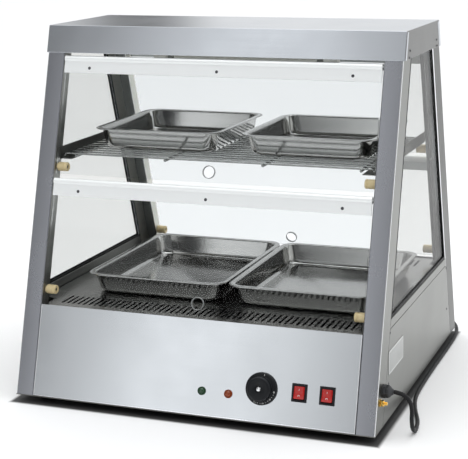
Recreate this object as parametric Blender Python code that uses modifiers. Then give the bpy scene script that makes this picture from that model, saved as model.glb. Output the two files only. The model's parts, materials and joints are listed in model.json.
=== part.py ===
"""Counter-top hot food display case with a tapered casing, four flap doors and two tiers of pans.

Metres, +Z up. The origin is on the floor under the middle of the casing; the controls face -Y.
"""

import math

import bmesh
import bpy
from mathutils import Matrix, Vector

# ---------------------------------------------------------------- driving dimensions
CASE_WIDTH = 0.650
BASE_DEPTH = 0.600
TOP_DEPTH = 0.228
CASE_HEIGHT = 0.628
FOOT_HEIGHT = 0.012
SHEET = 0.0012
GAP = 0.0003

POST_FACE = 0.033
POST_FLANGE = 0.048
POST_RETURN = 0.025
GLASS_LIP = 0.006
BEND_RADIUS = 0.002

HEADER_HEIGHT = 0.047
HEADER_OVERHANG = 0.002
PLINTH_TOP = 0.166
DECK_TOP = 0.1635
SIDE_RAIL_BOTTOM = 0.164
SIDE_RAIL_TOP = 0.179
GLASS_THICKNESS = 0.004

FLAP_HALF_WIDTH = 0.2900
BEAD_RADIUS = 0.006
HINGE_SETBACK = 0.004
HINGE_PIN_RADIUS = 0.002
HINGE_HEIGHTS = {"upper": 0.583, "lower": 0.374}
FLAP_BOTTOMS = {"upper": 0.387, "lower": 0.1735}
RAIL_DROP = 0.024
FINGER_HOLE_RADIUS = 0.0105
FINGER_HOLE_UP = 0.0175
BUMPER_RADIUS = 0.008
BUMPER_LENGTH = 0.018
BUMPER_HEIGHTS = {"upper": 0.400, "lower": 0.192}

SHELF_TOP = 0.4195
SHELF_WIRE = 0.0035
SHELF_BAR = 0.005
SHELF_HALF_WIDTH = 0.284
SHELF_HALF_DEPTH = 0.161
BRACKET_LEG = 0.024
BRACKET_HEIGHT = 0.021
BRACKET_HALF_LENGTH = 0.1675

PAN_HEIGHT = 0.038
PAN_RIM = 0.009
PAN_WALL = 0.0010
PAN_EDGE = 0.0022
UPPER_PAN = (0.242, 0.250)
LOWER_PAN = (0.266, 0.318)
UPPER_PAN_CENTRES = {"left": (-0.129, 0.004), "right": (0.151, 0.004)}
LOWER_PAN_CENTRES = {"left": (-0.118, -0.008), "right": (0.152, -0.008)}

LAMP_SPOTS = {"green": (0.023, 0.053), "amber": (0.0705, 0.053)}
KNOB_SPOT = (0.128, 0.067)
SWITCH_SPOTS = {"heat": (0.1935, 0.067), "light": (0.241, 0.067)}
SWITCH_CUTOUT = (0.0222, 0.0272)
SWITCH_TILT = math.radians(8)

GLAND_SPOT = (-0.252, 0.074)
EARTH_SPOT = (-0.270, 0.060)
GLAND_END = 0.3430
CORD_DIAMETER = 0.007
COIL_CENTRE = (0.235, 0.360)
COIL_RADIUS = 0.0385
COIL_TURNS_WIDE = 2
COIL_TURNS_HIGH = 2
COIL_EXIT_ANGLE = math.radians(120)

# ---------------------------------------------------------------- worked out from those
HALF_WIDTH = CASE_WIDTH / 2
TOP = FOOT_HEIGHT + CASE_HEIGHT
SLOPE = (BASE_DEPTH - TOP_DEPTH) / 2 / CASE_HEIGHT
TILT = math.atan(SLOPE)
RETURN_X = HALF_WIDTH - POST_FACE
INNER_X = RETURN_X - SHEET
WALL_BOTTOM = FOOT_HEIGHT + SHEET + GAP
SIDES = {"left": -1, "right": 1}
FACES = {"front": 1, "rear": -1}

COLOURS = {
    "post_steel": ((0.56, 0.59, 0.66), 1.0, 0.32),
    "panel_steel": ((0.72, 0.73, 0.74), 1.0, 0.30),
    "side_steel": ((0.58, 0.60, 0.57), 1.0, 0.34),
    "rail_aluminium": ((0.85, 0.87, 0.88), 1.0, 0.28),
    "pan_steel": ((0.42, 0.43, 0.44), 1.0, 0.15),
    "dark_steel": ((0.20, 0.21, 0.22), 1.0, 0.35),
    "chrome_wire": ((0.70, 0.71, 0.72), 1.0, 0.15),
    "glass": ((0.85, 0.92, 0.90), 0.0, 0.03),
    "nylon": ((0.88, 0.76, 0.45), 0.0, 0.45),
    "black_plastic": ((0.02, 0.02, 0.02), 0.0, 0.40),
    "red_plastic": ((0.75, 0.04, 0.03), 0.0, 0.25),
    "green_lens": ((0.02, 0.16, 0.06), 0.0, 0.20),
    "amber_lens": ((0.60, 0.12, 0.01), 0.0, 0.20),
    "rubber": ((0.02, 0.02, 0.02), 0.0, 0.80),
    "brass": ((0.85, 0.60, 0.20), 1.0, 0.25),
    "white_ceramic": ((0.80, 0.80, 0.76), 0.0, 0.40),
}


def half_depth(z):
    """Distance from the middle of the casing to its front or rear plane at height z."""
    return BASE_DEPTH / 2 - SLOPE * (z - FOOT_HEIGHT)


def face_point(face, x, z, inward=0.0):
    """A point at x, z on the sloping front or rear plane, moved inward square to it."""
    y = -half_depth(z) + inward * math.cos(TILT)
    sign = FACES[face]
    return Vector((x * sign, y * sign, z - inward * math.sin(TILT)))


def face_frame(face, x, z, inward=0.0):
    """Local axes on a sloping plane: X across, Y up the slope, Z square out of the casing."""
    frame = Matrix.Rotation(math.pi / 2 - TILT, 4, "X")
    if face == "rear":
        frame = Matrix.Rotation(math.pi, 4, "Z") @ frame
    return Matrix.Translation(face_point(face, x, z, inward)) @ frame


# ---------------------------------------------------------------- scene and modelling helpers
def clear_scene():
    for old in list(bpy.data.objects):
        bpy.data.objects.remove(old, do_unlink=True)


def collection(name):
    made = bpy.data.collections.new(name)
    bpy.context.scene.collection.children.link(made)
    return made


def finish_material(key):
    found = bpy.data.materials.get(key)
    if found:
        return found
    colour, metallic, roughness = COLOURS[key]
    made = bpy.data.materials.new(key)
    made.use_nodes = True
    shader = made.node_tree.nodes["Principled BSDF"]
    shader.inputs["Base Color"].default_value = (*colour, 1)
    shader.inputs["Metallic"].default_value = metallic
    shader.inputs["Roughness"].default_value = roughness
    if key == "glass":
        shader.inputs["Transmission Weight"].default_value = 1.0
    made.diffuse_color = (*colour, 1)
    return made


def add_part(name, mesh, key, place=None):
    mesh.name = name
    part = bpy.data.objects.new(name, mesh)
    part.matrix_world = place or Matrix.Identity(4)
    mesh.materials.clear()
    mesh.materials.append(finish_material(key))
    PARTS.objects.link(part)
    return part


def add_cutter(name, mesh, place=None):
    cutter = bpy.data.objects.new(name, mesh)
    cutter.matrix_world = place or Matrix.Identity(4)
    cutter.hide_render = True
    cutter.display_type = "WIRE"
    CUTTERS.objects.link(cutter)
    return cutter


def boolean(part, other, operation="DIFFERENCE"):
    step = part.modifiers.new(other.name, "BOOLEAN")
    step.operation = operation
    step.solver = "EXACT"
    step.object = other


def smooth(mesh, angle=35):
    mesh.shade_smooth()
    mesh.set_sharp_from_angle(angle=math.radians(angle))


def mesh_from(bm, name="mesh"):
    bmesh.ops.recalc_face_normals(bm, faces=bm.faces)
    mesh = bpy.data.meshes.new(name)
    bm.to_mesh(mesh)
    bm.free()
    return mesh


def box_mesh(low, high):
    bm = bmesh.new()
    bmesh.ops.create_cube(bm, size=1)
    low, high = Vector(low), Vector(high)
    for vert in bm.verts:
        vert.co = Vector((low[i] + (vert.co[i] + 0.5) * (high[i] - low[i]) for i in range(3)))
    return mesh_from(bm)


def cylinder_mesh(radius, length, segments=24, end_radius=None):
    """A cylinder or cone along Z, centred, with its first radius at the low end."""
    bm = bmesh.new()
    far = radius if end_radius is None else end_radius
    bmesh.ops.create_cone(
        bm, cap_ends=True, segments=segments, radius1=radius, radius2=far, depth=length
    )
    return mesh_from(bm)


def evaluated_mesh(item):
    """The mesh of a curve or of an object with modifiers, welded, in its own axes."""
    bpy.context.scene.collection.objects.link(item)
    graph = bpy.context.evaluated_depsgraph_get()
    mesh = bpy.data.meshes.new_from_object(item.evaluated_get(graph))
    bpy.data.objects.remove(item, do_unlink=True)
    bm = bmesh.new()
    bm.from_mesh(mesh)
    bmesh.ops.remove_doubles(bm, verts=bm.verts, dist=0.000005)
    bmesh.ops.recalc_face_normals(bm, faces=bm.faces)
    bm.to_mesh(mesh)
    bm.free()
    return mesh


def outline_mesh(loops, thickness):
    """A flat solid from closed outlines in XY; the later loops are its holes."""
    curve = bpy.data.curves.new("outline", "CURVE")
    curve.dimensions = "2D"
    curve.fill_mode = "BOTH"
    curve.extrude = thickness / 2
    for loop in loops:
        spline = curve.splines.new("POLY")
        spline.points.add(len(loop) - 1)
        for point, (x, y) in zip(spline.points, loop):
            point.co = (x, y, 0, 1)
        spline.use_cyclic_u = True
    return evaluated_mesh(bpy.data.objects.new("outline", curve))


def tube_mesh(points, diameter, resolution=2):
    curve = bpy.data.curves.new("tube", "CURVE")
    curve.dimensions = "3D"
    curve.bevel_depth = diameter / 2
    curve.bevel_resolution = resolution
    curve.use_fill_caps = True
    spline = curve.splines.new("POLY")
    spline.points.add(len(points) - 1)
    for point, place in zip(spline.points, points):
        point.co = (*place, 1)
    return evaluated_mesh(bpy.data.objects.new("tube", curve))


def turned(name, profile, key, place, steps=32):
    """A turned solid: the profile is (radius, height) from its top middle down to its foot."""
    mesh = bpy.data.meshes.new(name)
    verts = [(radius, 0, height) for radius, height in profile]
    mesh.from_pydata(verts, [(i, i + 1) for i in range(len(verts) - 1)], [])
    part = add_part(name, mesh, key, place)
    screw = part.modifiers.new("turn", "SCREW")
    screw.axis = "Z"
    screw.angle = math.tau
    screw.steps = steps
    screw.render_steps = steps
    screw.use_merge_vertices = True
    screw.merge_threshold = 0.00001
    screw.use_smooth_shade = True
    return part


def along(point, direction):
    """A frame at point whose Z runs along direction."""
    turn = Vector(direction).to_track_quat("Z", "Y").to_matrix().to_4x4()
    return Matrix.Translation(point) @ turn


def circle(radius, count=24, centre=(0, 0)):
    return [
        (
            centre[0] + radius * math.cos(math.tau * i / count),
            centre[1] + radius * math.sin(math.tau * i / count),
        )
        for i in range(count)
    ]


def rectangle(x0, y0, x1, y1):
    return [(x0, y0), (x1, y0), (x1, y1), (x0, y1)]


def rounded_rectangle(width, depth, radius, steps=5):
    points = []
    for corner, (sx, sy) in enumerate(((1, 1), (-1, 1), (-1, -1), (1, -1))):
        for step in range(steps + 1):
            angle = math.pi / 2 * (corner + step / steps)
            x = sx * (width / 2 - radius) + radius * math.cos(angle)
            y = sy * (depth / 2 - radius) + radius * math.sin(angle)
            points.append((x, y))
    return points


def rounded_path(corners, radius, steps=3):
    """The open path through the corners, with an arc at each one between its ends."""
    points = [Vector(corners[0])]
    for before, here, after in zip(corners, corners[1:], corners[2:]):
        here = Vector(here)
        back = (Vector(before) - here).normalized()
        on = (Vector(after) - here).normalized()
        half = back.angle(on) / 2
        centre = here + (back + on).normalized() * (radius / math.sin(half))
        start = here + back * (radius / math.tan(half)) - centre
        sweep = (math.pi - 2 * half) * (1 if back.x * on.y - back.y * on.x < 0 else -1)
        for step in range(steps + 1):
            points.append(centre + Matrix.Rotation(sweep * step / steps, 2) @ start)
    points.append(Vector(corners[-1]))
    return points


def sheet_outline(path, thickness):
    """The closed outline of a bent sheet: the path and its copy, offset to the left of it."""
    offset = []
    for i, point in enumerate(path):
        before = (point - path[i - 1]).normalized() if i else None
        after = (path[i + 1] - point).normalized() if i + 1 < len(path) else None
        along_path = ((before or after) + (after or before)).normalized()
        left = Vector((-along_path.y, along_path.x))
        lean = left.dot(Vector((-(after or before).y, (after or before).x)))
        offset.append(point + left * (thickness / lean))
    return [tuple(p) for p in path] + [tuple(p) for p in reversed(offset)]


def smooth_route(knots, spacing):
    """Evenly spaced points on a Catmull-Rom curve through the knots, ends included."""
    knots = [Vector(k) for k in knots]
    padded = [2 * knots[0] - knots[1], *knots, 2 * knots[-1] - knots[-2]]
    fine = [knots[0]]
    for a, b, c, d in zip(padded, padded[1:], padded[2:], padded[3:]):
        for step in range(1, 17):
            t = step / 16
            fine.append(
                0.5
                * (
                    2 * b
                    + (c - a) * t
                    + (2 * a - 5 * b + 4 * c - d) * t**2
                    + (3 * b - a - 3 * c + d) * t**3
                )
            )
    total = sum((q - p).length for p, q in zip(fine, fine[1:]))
    count = round(total / spacing)
    points = [fine[0]]
    walked = 0.0
    for p, q in zip(fine, fine[1:]):
        length = (q - p).length
        while len(points) < count and walked + length >= total * len(points) / count:
            points.append(p.lerp(q, (total * len(points) / count - walked) / length))
        walked += length
    return [*points, fine[-1]]


# ---------------------------------------------------------------- casing
def make_base():
    edge = rectangle(-HALF_WIDTH, -BASE_DEPTH / 2, HALF_WIDTH, BASE_DEPTH / 2)
    place = Matrix.Translation((0, 0, FOOT_HEIGHT + SHEET / 2))
    add_part("base_plate", outline_mesh([edge], SHEET), "dark_steel", place)
    foot_profile = [(0, 1.0), (0.0135, 1.0), (0.0150, 0.75), (0.0140, 0.1), (0.0125, 0), (0, 0)]
    height = FOOT_HEIGHT - GAP
    profile = [(radius, share * height) for radius, share in foot_profile]
    for face, y_sign in (("front", -1), ("rear", 1)):
        for side, x_sign in SIDES.items():
            spot = Matrix.Translation((0.280 * x_sign, 0.268 * y_sign, 0))
            turned(f"foot_{face}_{side}", profile, "rubber", spot, steps=20)


def make_posts():
    """Four folded corner posts, each a channel with a lip that the side glass sits against."""
    top = TOP - SHEET - 0.002
    corners = [
        (RETURN_X, POST_RETURN),
        (RETURN_X, 0),
        (HALF_WIDTH, 0),
        (HALF_WIDTH, POST_FLANGE),
        (HALF_WIDTH - GLASS_LIP, POST_FLANGE),
    ]
    section = sheet_outline(rounded_path(corners, BEND_RADIUS), SHEET)
    for face, face_sign in FACES.items():
        for side, side_sign in SIDES.items():
            mesh = outline_mesh([section], top - WALL_BOTTOM)
            for vert in mesh.vertices:
                vert.co.z += (top + WALL_BOTTOM) / 2
                vert.co.y = face_sign * (vert.co.y - half_depth(vert.co.z))
                vert.co.x *= side_sign
            if side_sign * face_sign < 0:
                mesh.flip_normals()
            post = add_part(f"post_{face}_{side}", mesh, "post_steel")
            for tier, height in HINGE_HEIGHTS.items():
                x = side_sign * face_sign * (INNER_X + SHEET / 2)
                spot = face_point(face, x, height, HINGE_SETBACK)
                drill = cylinder_mesh(HINGE_PIN_RADIUS + 0.0003, 0.006, 16)
                cutter = add_cutter(f"pin_hole_{tier}_{face}_{side}", drill, along(spot, (1, 0, 0)))
                boolean(post, cutter)
            if (face, side) == ("front", "right"):
                for label, (y, z), radius in (
                    ("gland", GLAND_SPOT, 0.0064),
                    ("earth", EARTH_SPOT, 0.0034),
                ):
                    spot = (HALF_WIDTH - SHEET / 2, y, z)
                    drill = cylinder_mesh(radius, 0.006, 20)
                    boolean(post, add_cutter(f"{label}_hole", drill, along(spot, (1, 0, 0))))


def make_end_panels():
    """The flat lower panels under the front and rear flaps, flush between the posts."""
    low = (WALL_BOTTOM - FOOT_HEIGHT + SHEET * math.sin(TILT)) / math.cos(TILT)
    high = (PLINTH_TOP - FOOT_HEIGHT) / math.cos(TILT)
    edge = rectangle(-RETURN_X + 0.0004, low, RETURN_X - 0.0004, high)

    def up(z):
        return (z - FOOT_HEIGHT) / math.cos(TILT)

    holes = [circle(0.0052, 20, (x, up(z))) for x, z in LAMP_SPOTS.values()]
    holes.append(circle(0.0042, 20, (KNOB_SPOT[0], up(KNOB_SPOT[1]))))
    for x, z in SWITCH_SPOTS.values():
        half_w, half_h = (size / 2 + GAP for size in SWITCH_CUTOUT)
        holes.append(rectangle(x - half_w, up(z) - half_h, x + half_w, up(z) + half_h))
    for face, loops in (("front", [edge, *holes]), ("rear", [edge])):
        place = face_frame(face, 0, FOOT_HEIGHT, SHEET / 2)
        add_part(f"{face}_panel", outline_mesh(loops, SHEET), "panel_steel", place)


def side_solid(x0, x1, z0, z1, inset):
    """A flat solid on a side wall whose ends follow the slopes, inset from them along Y."""
    outline = [
        (-(half_depth(z0) - inset), z0),
        (half_depth(z0) - inset, z0),
        (half_depth(z1) - inset, z1),
        (-(half_depth(z1) - inset), z1),
    ]
    mesh = outline_mesh([outline], x1 - x0)
    mesh.transform(Matrix(((0, 0, 1, (x0 + x1) / 2), (1, 0, 0, 0), (0, 1, 0, 0), (0, 0, 0, 1))))
    return mesh


def mirrored(mesh, sign):
    if sign < 0:
        mesh.transform(Matrix.Scale(-1, 4, (1, 0, 0)))
        mesh.flip_normals()
    return mesh


def make_sides():
    """Lower side panels, the rails over them and the fixed side glass, left and right."""
    inset = POST_FLANGE + 0.0005
    glass_inset = POST_FLANGE + 0.0012
    glass_x = HALF_WIDTH - 0.003
    for side, sign in SIDES.items():
        panel = side_solid(HALF_WIDTH - SHEET, HALF_WIDTH, WALL_BOTTOM, SIDE_RAIL_BOTTOM - 0.0006, inset)
        add_part(f"side_panel_{side}", mirrored(panel, sign), "side_steel")
        rail = side_solid(HALF_WIDTH - 0.008, HALF_WIDTH, SIDE_RAIL_BOTTOM, SIDE_RAIL_TOP, inset)
        add_part(f"side_rail_{side}", mirrored(rail, sign), "side_steel")
        low, high = SIDE_RAIL_TOP + 0.0008, TOP - 0.030
        glass = side_solid(glass_x - GLASS_THICKNESS, glass_x, low, high, glass_inset)
        add_part(f"side_glass_{side}", mirrored(glass, sign), "glass")


def make_header():
    """The top cover: a tapered box open underneath, which caps the posts."""
    bm = bmesh.new()
    bmesh.ops.create_cube(bm, size=1)
    bottom_z = TOP - HEADER_HEIGHT
    for vert in bm.verts:
        z = TOP if vert.co.z > 0 else bottom_z
        x = math.copysign(HALF_WIDTH + HEADER_OVERHANG, vert.co.x)
        y = math.copysign(half_depth(z) + HEADER_OVERHANG, vert.co.y)
        vert.co = (x, y, z)
    bottom = [face for face in bm.faces if face.calc_center_median().z < bottom_z + 0.001]
    bmesh.ops.delete(bm, geom=bottom, context="FACES_ONLY")
    header = add_part("header_cover", mesh_from(bm), "panel_steel")
    wall = header.modifiers.new("wall", "SOLIDIFY")
    wall.thickness = SHEET
    wall.offset = -1
    wall.use_even_offset = True


def make_ceiling():
    """The inner ceiling between the posts, with a lamp holder and a tube lamp under it."""
    z = TOP - HEADER_HEIGHT + 0.004
    wide_x = HALF_WIDTH - 0.003 - GLASS_THICKNESS - 0.001
    narrow_x = INNER_X - 0.0008
    deep_y = half_depth(z) - 0.009
    short_y = half_depth(z) - POST_FLANGE - 0.002
    quarter = [(wide_x, short_y), (narrow_x, short_y), (narrow_x, deep_y)]
    outline = quarter + [(-x, y) for x, y in reversed(quarter)]
    outline += [(-x, -y) for x, y in quarter] + [(x, -y) for x, y in reversed(quarter)]
    place = Matrix.Translation((0, 0, z + SHEET / 2))
    add_part("ceiling_plate", outline_mesh([outline], SHEET), "side_steel", place)
    holder_low = z - GAP - 0.014
    holder = add_part(
        "lamp_holder", box_mesh((-0.175, -0.013, holder_low), (0.175, 0.013, z - GAP)), "white_ceramic"
    )
    for sign in (-1, 1):
        near, far = sorted((0.150 * sign, 0.175 * sign))
        socket = box_mesh((near, -0.010, holder_low - 0.018), (far, 0.010, holder_low + 0.004))
        boolean(holder, add_cutter(f"lamp_socket_{sign}", socket), "UNION")
    lamp = cylinder_mesh(0.006, 0.300 - 2 * GAP, 20)
    smooth(lamp)
    add_part("lamp_tube", lamp, "white_ceramic", along((0, 0, holder_low - 0.010), (1, 0, 0)))


def make_deck():
    """The slotted warming deck over the electrical space, shaped to pass between the posts."""
    wide_x = HALF_WIDTH - 0.009
    narrow_x = INNER_X - 0.0008
    deep_y = half_depth(DECK_TOP) - 0.0035
    short_y = half_depth(DECK_TOP) - POST_FLANGE - 0.002
    quarter = [(wide_x, short_y), (narrow_x, short_y), (narrow_x, deep_y)]
    outline = quarter + [(-x, y) for x, y in reversed(quarter)]
    outline += [(-x, -y) for x, y in quarter] + [(x, -y) for x, y in reversed(quarter)]
    loops = [outline]
    pitch, slot_width, slot_length, slots = 0.0104, 0.0045, 0.044, 52
    for row_y in (-0.207, 0.207):
        for i in range(slots):
            x = (i - (slots - 1) / 2) * pitch
            y0, y1 = row_y - slot_length / 2, row_y + slot_length / 2
            loops.append(rectangle(x - slot_width / 2, y0, x + slot_width / 2, y1))
    place = Matrix.Translation((0, 0, DECK_TOP - SHEET / 2))
    add_part("deck_plate", outline_mesh(loops, SHEET), "dark_steel", place)


# ---------------------------------------------------------------- heating and electrics
def make_heater():
    """A bent tubular element under the deck, standing on its two terminal legs."""
    z, reach = 0.110, 0.230
    floor = WALL_BOTTOM + GAP
    legs_y = (-0.150, 0.150)
    corners = [(-reach - 0.02, legs_y[0], floor), (-reach - 0.02, legs_y[0], z)]
    rows = (-0.150, -0.050, 0.050, 0.150)
    for i, y in enumerate(rows):
        start, end = (-reach, reach) if i % 2 == 0 else (reach, -reach)
        corners += [(start, y, z), (end, y, z)]
    corners += [(-reach - 0.02, legs_y[1], z), (-reach - 0.02, legs_y[1], floor)]
    path = []
    bend = 0.030
    for before, here, after in zip(corners, corners[1:], corners[2:]):
        here = Vector(here)
        back = Vector(before) - here
        on = Vector(after) - here
        if back.normalized().dot(on.normalized()) < -0.999:
            continue
        trim = min(bend, back.length / 2, on.length / 2)
        start, end = here + back.normalized() * trim, here + on.normalized() * trim
        for step in range(5):
            t = step / 4
            path.append(start.lerp(here, t).lerp(here.lerp(end, t), t))
    path = [Vector(corners[0]), *path, Vector(corners[-1])]
    mesh = tube_mesh(path, 0.008)
    smooth(mesh)
    add_part("heating_element", mesh, "dark_steel")


def make_thermostat():
    """Thermostat body behind the panel, with a bore that the knob's shaft turns in."""
    frame = face_frame("front", *KNOB_SPOT)
    back = -(SHEET + GAP)
    block = box_mesh((-0.017, -0.021, back - 0.024), (0.017, 0.021, back))
    body = add_part("thermostat_body", block, "white_ceramic", frame)
    drill = cylinder_mesh(0.0034, 0.020, 20)
    boolean(body, add_cutter("shaft_bore", drill, frame @ Matrix.Translation((0, 0, back - 0.002))))
    profile = [
        (0, 0.0175),
        (0.0190, 0.0175),
        (0.0220, 0.0165),
        (0.0230, 0.0140),
        (0.0236, 0.0050),
        (0.0262, 0.0046),
        (0.0270, 0.0036),
        (0.0270, 0.0008),
        (0.0030, 0.0008),
        (0.0030, back - 0.0105),
        (0, back - 0.0105),
    ]
    turned("thermostat_knob", profile, "black_plastic", frame, steps=40)


def make_indicators():
    profile = [
        (0, 0.0042),
        (0.0030, 0.0038),
        (0.0052, 0.0028),
        (0.0060, 0.0022),
        (0.0070, 0.0018),
        (0.0072, GAP),
        (0.0048, GAP),
        (0.0048, -0.0200),
        (0, -0.0200),
    ]
    for colour, spot in LAMP_SPOTS.items():
        frame = face_frame("front", *spot)
        turned(f"indicator_lamp_{colour}", profile, f"{colour}_lens", frame, steps=24)


def make_switches():
    """Two rocker switches: a bezelled body with a pocket, and a rocker that tips in it."""
    half_w, half_h = SWITCH_CUTOUT[0] / 2, SWITCH_CUTOUT[1] / 2
    pocket_w, pocket_h, pocket_depth = 0.0093, 0.0112, 0.012
    for label, spot in SWITCH_SPOTS.items():
        frame = face_frame("front", *spot)
        block = box_mesh((-half_w, -half_h, -0.022), (half_w, half_h, 0.001))
        body = add_part(f"switch_body_{label}", block, "black_plastic", frame)
        bezel = box_mesh((-0.0128, -0.0150, GAP), (0.0128, 0.0150, 0.0022))
        boolean(body, add_cutter(f"switch_bezel_{label}", bezel, frame), "UNION")
        pocket = box_mesh((-pocket_w, -pocket_h, -pocket_depth), (pocket_w, pocket_h, 0.010))
        boolean(body, add_cutter(f"switch_pocket_{label}", pocket, frame))
        profile = [
            (0.0100, 0.0040),
            (0.0004, 0.0026),
            (-0.0004, 0.0026),
            (-0.0100, 0.0040),
            (-0.0102, -0.0010),
            (-0.0040, -0.0080),
            (0.0040, -0.0080),
            (0.0102, -0.0010),
        ]
        rocker = outline_mesh([profile], 2 * (pocket_w - 0.0005))
        rocker.transform(Matrix(((0, 0, 1, 0), (1, 0, 0, 0), (0, 1, 0, 0), (0, 0, 0, 1))))
        tipped = frame @ Matrix.Rotation(-SWITCH_TILT, 4, "X")
        add_part(f"switch_rocker_{label}", rocker, "red_plastic", tipped)


def make_terminals():
    block = box_mesh((0.230, -0.110, WALL_BOTTOM + GAP), (0.290, -0.080, WALL_BOTTOM + 0.024))
    add_part("terminal_block", block, "white_ceramic")
    wall = HALF_WIDTH
    gland_profile = [
        (0, GLAND_END - wall),
        (0.0044, GLAND_END - wall),
        (0.0064, GLAND_END - wall - 0.0010),
        (0.0086, GLAND_END - wall - 0.0050),
        (0.0098, 0.0090),
        (0.0098, 0.0062),
        (0.0110, 0.0060),
        (0.0110, GAP),
        (0.0060, GAP),
        (0.0060, -SHEET - GAP),
        (0.0095, -SHEET - GAP),
        (0.0095, -0.0070),
        (0, -0.0070),
    ]
    turned("cable_gland", gland_profile, "black_plastic", along((wall, *GLAND_SPOT), (1, 0, 0)), 24)
    earth_profile = [
        (0, 0.0125),
        (0.0024, 0.0125),
        (0.0030, 0.0118),
        (0.0030, 0.0064),
        (0.0052, 0.0060),
        (0.0054, 0.0018),
        (0.0064, 0.0015),
        (0.0064, GAP),
        (0.0030, GAP),
        (0.0030, -SHEET - GAP),
        (0.0052, -SHEET - GAP),
        (0.0052, -0.0060),
        (0, -0.0060),
    ]
    turned("earth_bolt", earth_profile, "brass", along((wall, *EARTH_SPOT), (1, 0, 0)), 18)


# ---------------------------------------------------------------- flap doors
def make_flaps():
    """Four flap doors. Each has an aluminium hinge rail with pins in the posts, and a glass."""
    flange_outer, flange_inner = 0.0034, 0.0009
    glass_front, glass_back = 0.0006, -0.0034
    drop = RAIL_DROP / math.cos(TILT)
    start = math.asin(flange_inner / BEAD_RADIUS)
    end = math.asin(flange_outer / BEAD_RADIUS)
    arc_steps = 18
    profile = []
    for step in range(arc_steps + 1):
        angle = end + (math.tau - end + start) * step / arc_steps
        profile.append((BEAD_RADIUS * math.sin(angle), -BEAD_RADIUS * math.cos(angle)))
    profile += [(flange_inner, -drop), (flange_outer - 0.0006, -drop), (flange_outer, -drop + 0.0008)]
    for face in FACES:
        for tier, height in HINGE_HEIGHTS.items():
            frame = face_frame(face, 0, height, HINGE_SETBACK)
            bar = outline_mesh([profile], 2 * FLAP_HALF_WIDTH)
            bar.transform(Matrix(((0, 0, 1, 0), (0, 1, 0, 0), (1, 0, 0, 0), (0, 0, 0, 1))))
            bar.flip_normals()
            rail = add_part(f"flap_rail_{face}_{tier}", bar, "rail_aluminium", frame)
            pin = cylinder_mesh(HINGE_PIN_RADIUS, 2 * FLAP_HALF_WIDTH + 0.010, 12)
            pins = add_cutter(f"hinge_pins_{face}_{tier}", pin, frame @ Matrix.Rotation(math.pi / 2, 4, "Y"))
            boolean(rail, pins, "UNION")
            bottom = -(height - FLAP_BOTTOMS[tier]) / math.cos(TILT)
            half = FLAP_HALF_WIDTH - 0.0005
            edge = rectangle(-half, bottom, half, -BEAD_RADIUS - 0.0006)
            hole = circle(FINGER_HOLE_RADIUS, 28, (0, bottom + FINGER_HOLE_UP))
            pane = outline_mesh([edge, hole], glass_front - glass_back)
            pane.transform(Matrix.Translation((0, 0, (glass_front + glass_back) / 2)))
            add_part(f"flap_glass_{face}_{tier}", pane, "glass", frame)


def make_bumpers():
    """Nylon rollers on the posts that the closed flaps rest against."""
    inward = HINGE_SETBACK + 0.0034 + GAP + BUMPER_RADIUS
    for face, face_sign in FACES.items():
        for tier, height in BUMPER_HEIGHTS.items():
            for side, sign in SIDES.items():
                x = sign * face_sign * (INNER_X - GAP - BUMPER_LENGTH / 2)
                spot = face_point(face, x, height, inward)
                bumper = cylinder_mesh(BUMPER_RADIUS, BUMPER_LENGTH, 20)
                smooth(bumper)
                add_part(f"bumper_{face}_{tier}_{side}", bumper, "nylon", along(spot, (1, 0, 0)))


# ---------------------------------------------------------------- shelf and pans
def make_brackets():
    """Angle brackets between the posts of each side; the wire shelf rests on their legs."""
    low = SHELF_TOP - SHELF_WIRE - SHELF_BAR - GAP - 0.0015
    outer = INNER_X - GAP
    corners = [(outer, low + BRACKET_HEIGHT), (outer, low), (outer - BRACKET_LEG, low)]
    section = sheet_outline(rounded_path(corners, 0.0022), -0.0015)
    for side, sign in SIDES.items():
        mesh = outline_mesh([section], 2 * BRACKET_HALF_LENGTH)
        mesh.transform(Matrix(((1, 0, 0, 0), (0, 0, -1, 0), (0, 1, 0, 0), (0, 0, 0, 1))))
        add_part(f"shelf_bracket_{side}", mirrored(mesh, sign), "dark_steel")


def make_shelf():
    """Wire shelf: crosswise wires with turned-down ends, welded onto bars that run in depth."""
    wires = 17
    wire_z = SHELF_TOP - SHELF_WIRE / 2
    bar_z = SHELF_TOP - SHELF_WIRE - SHELF_BAR / 2 + 0.0007
    reach = SHELF_HALF_WIDTH
    turn = 0.004
    bm = bmesh.new()
    for i in range(wires):
        y = (2 * i / (wires - 1) - 1) * (SHELF_HALF_DEPTH - SHELF_BAR / 2)
        points = []
        for sign in (-1, 1):
            ends = [(reach, 0.0062), (reach - 0.0002, turn), (reach - 0.0014, 0.0014), (reach - turn, 0)]
            side = [(sign * x, y, wire_z - drop) for x, drop in ends]
            points += side if sign < 0 else list(reversed(side))
        bm.from_mesh(tube_mesh(points, SHELF_WIRE))
    grid = mesh_from(bm)
    smooth(grid)
    shelf = add_part("wire_shelf", grid, "chrome_wire")
    bars = bmesh.new()
    for x in (-0.262, -0.090, 0.090, 0.262):
        ends = [(x, -SHELF_HALF_DEPTH, bar_z), (x, SHELF_HALF_DEPTH, bar_z)]
        bars.from_mesh(tube_mesh(ends, SHELF_BAR))
    boolean(shelf, add_cutter("shelf_bars", mesh_from(bars)), "UNION")


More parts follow.
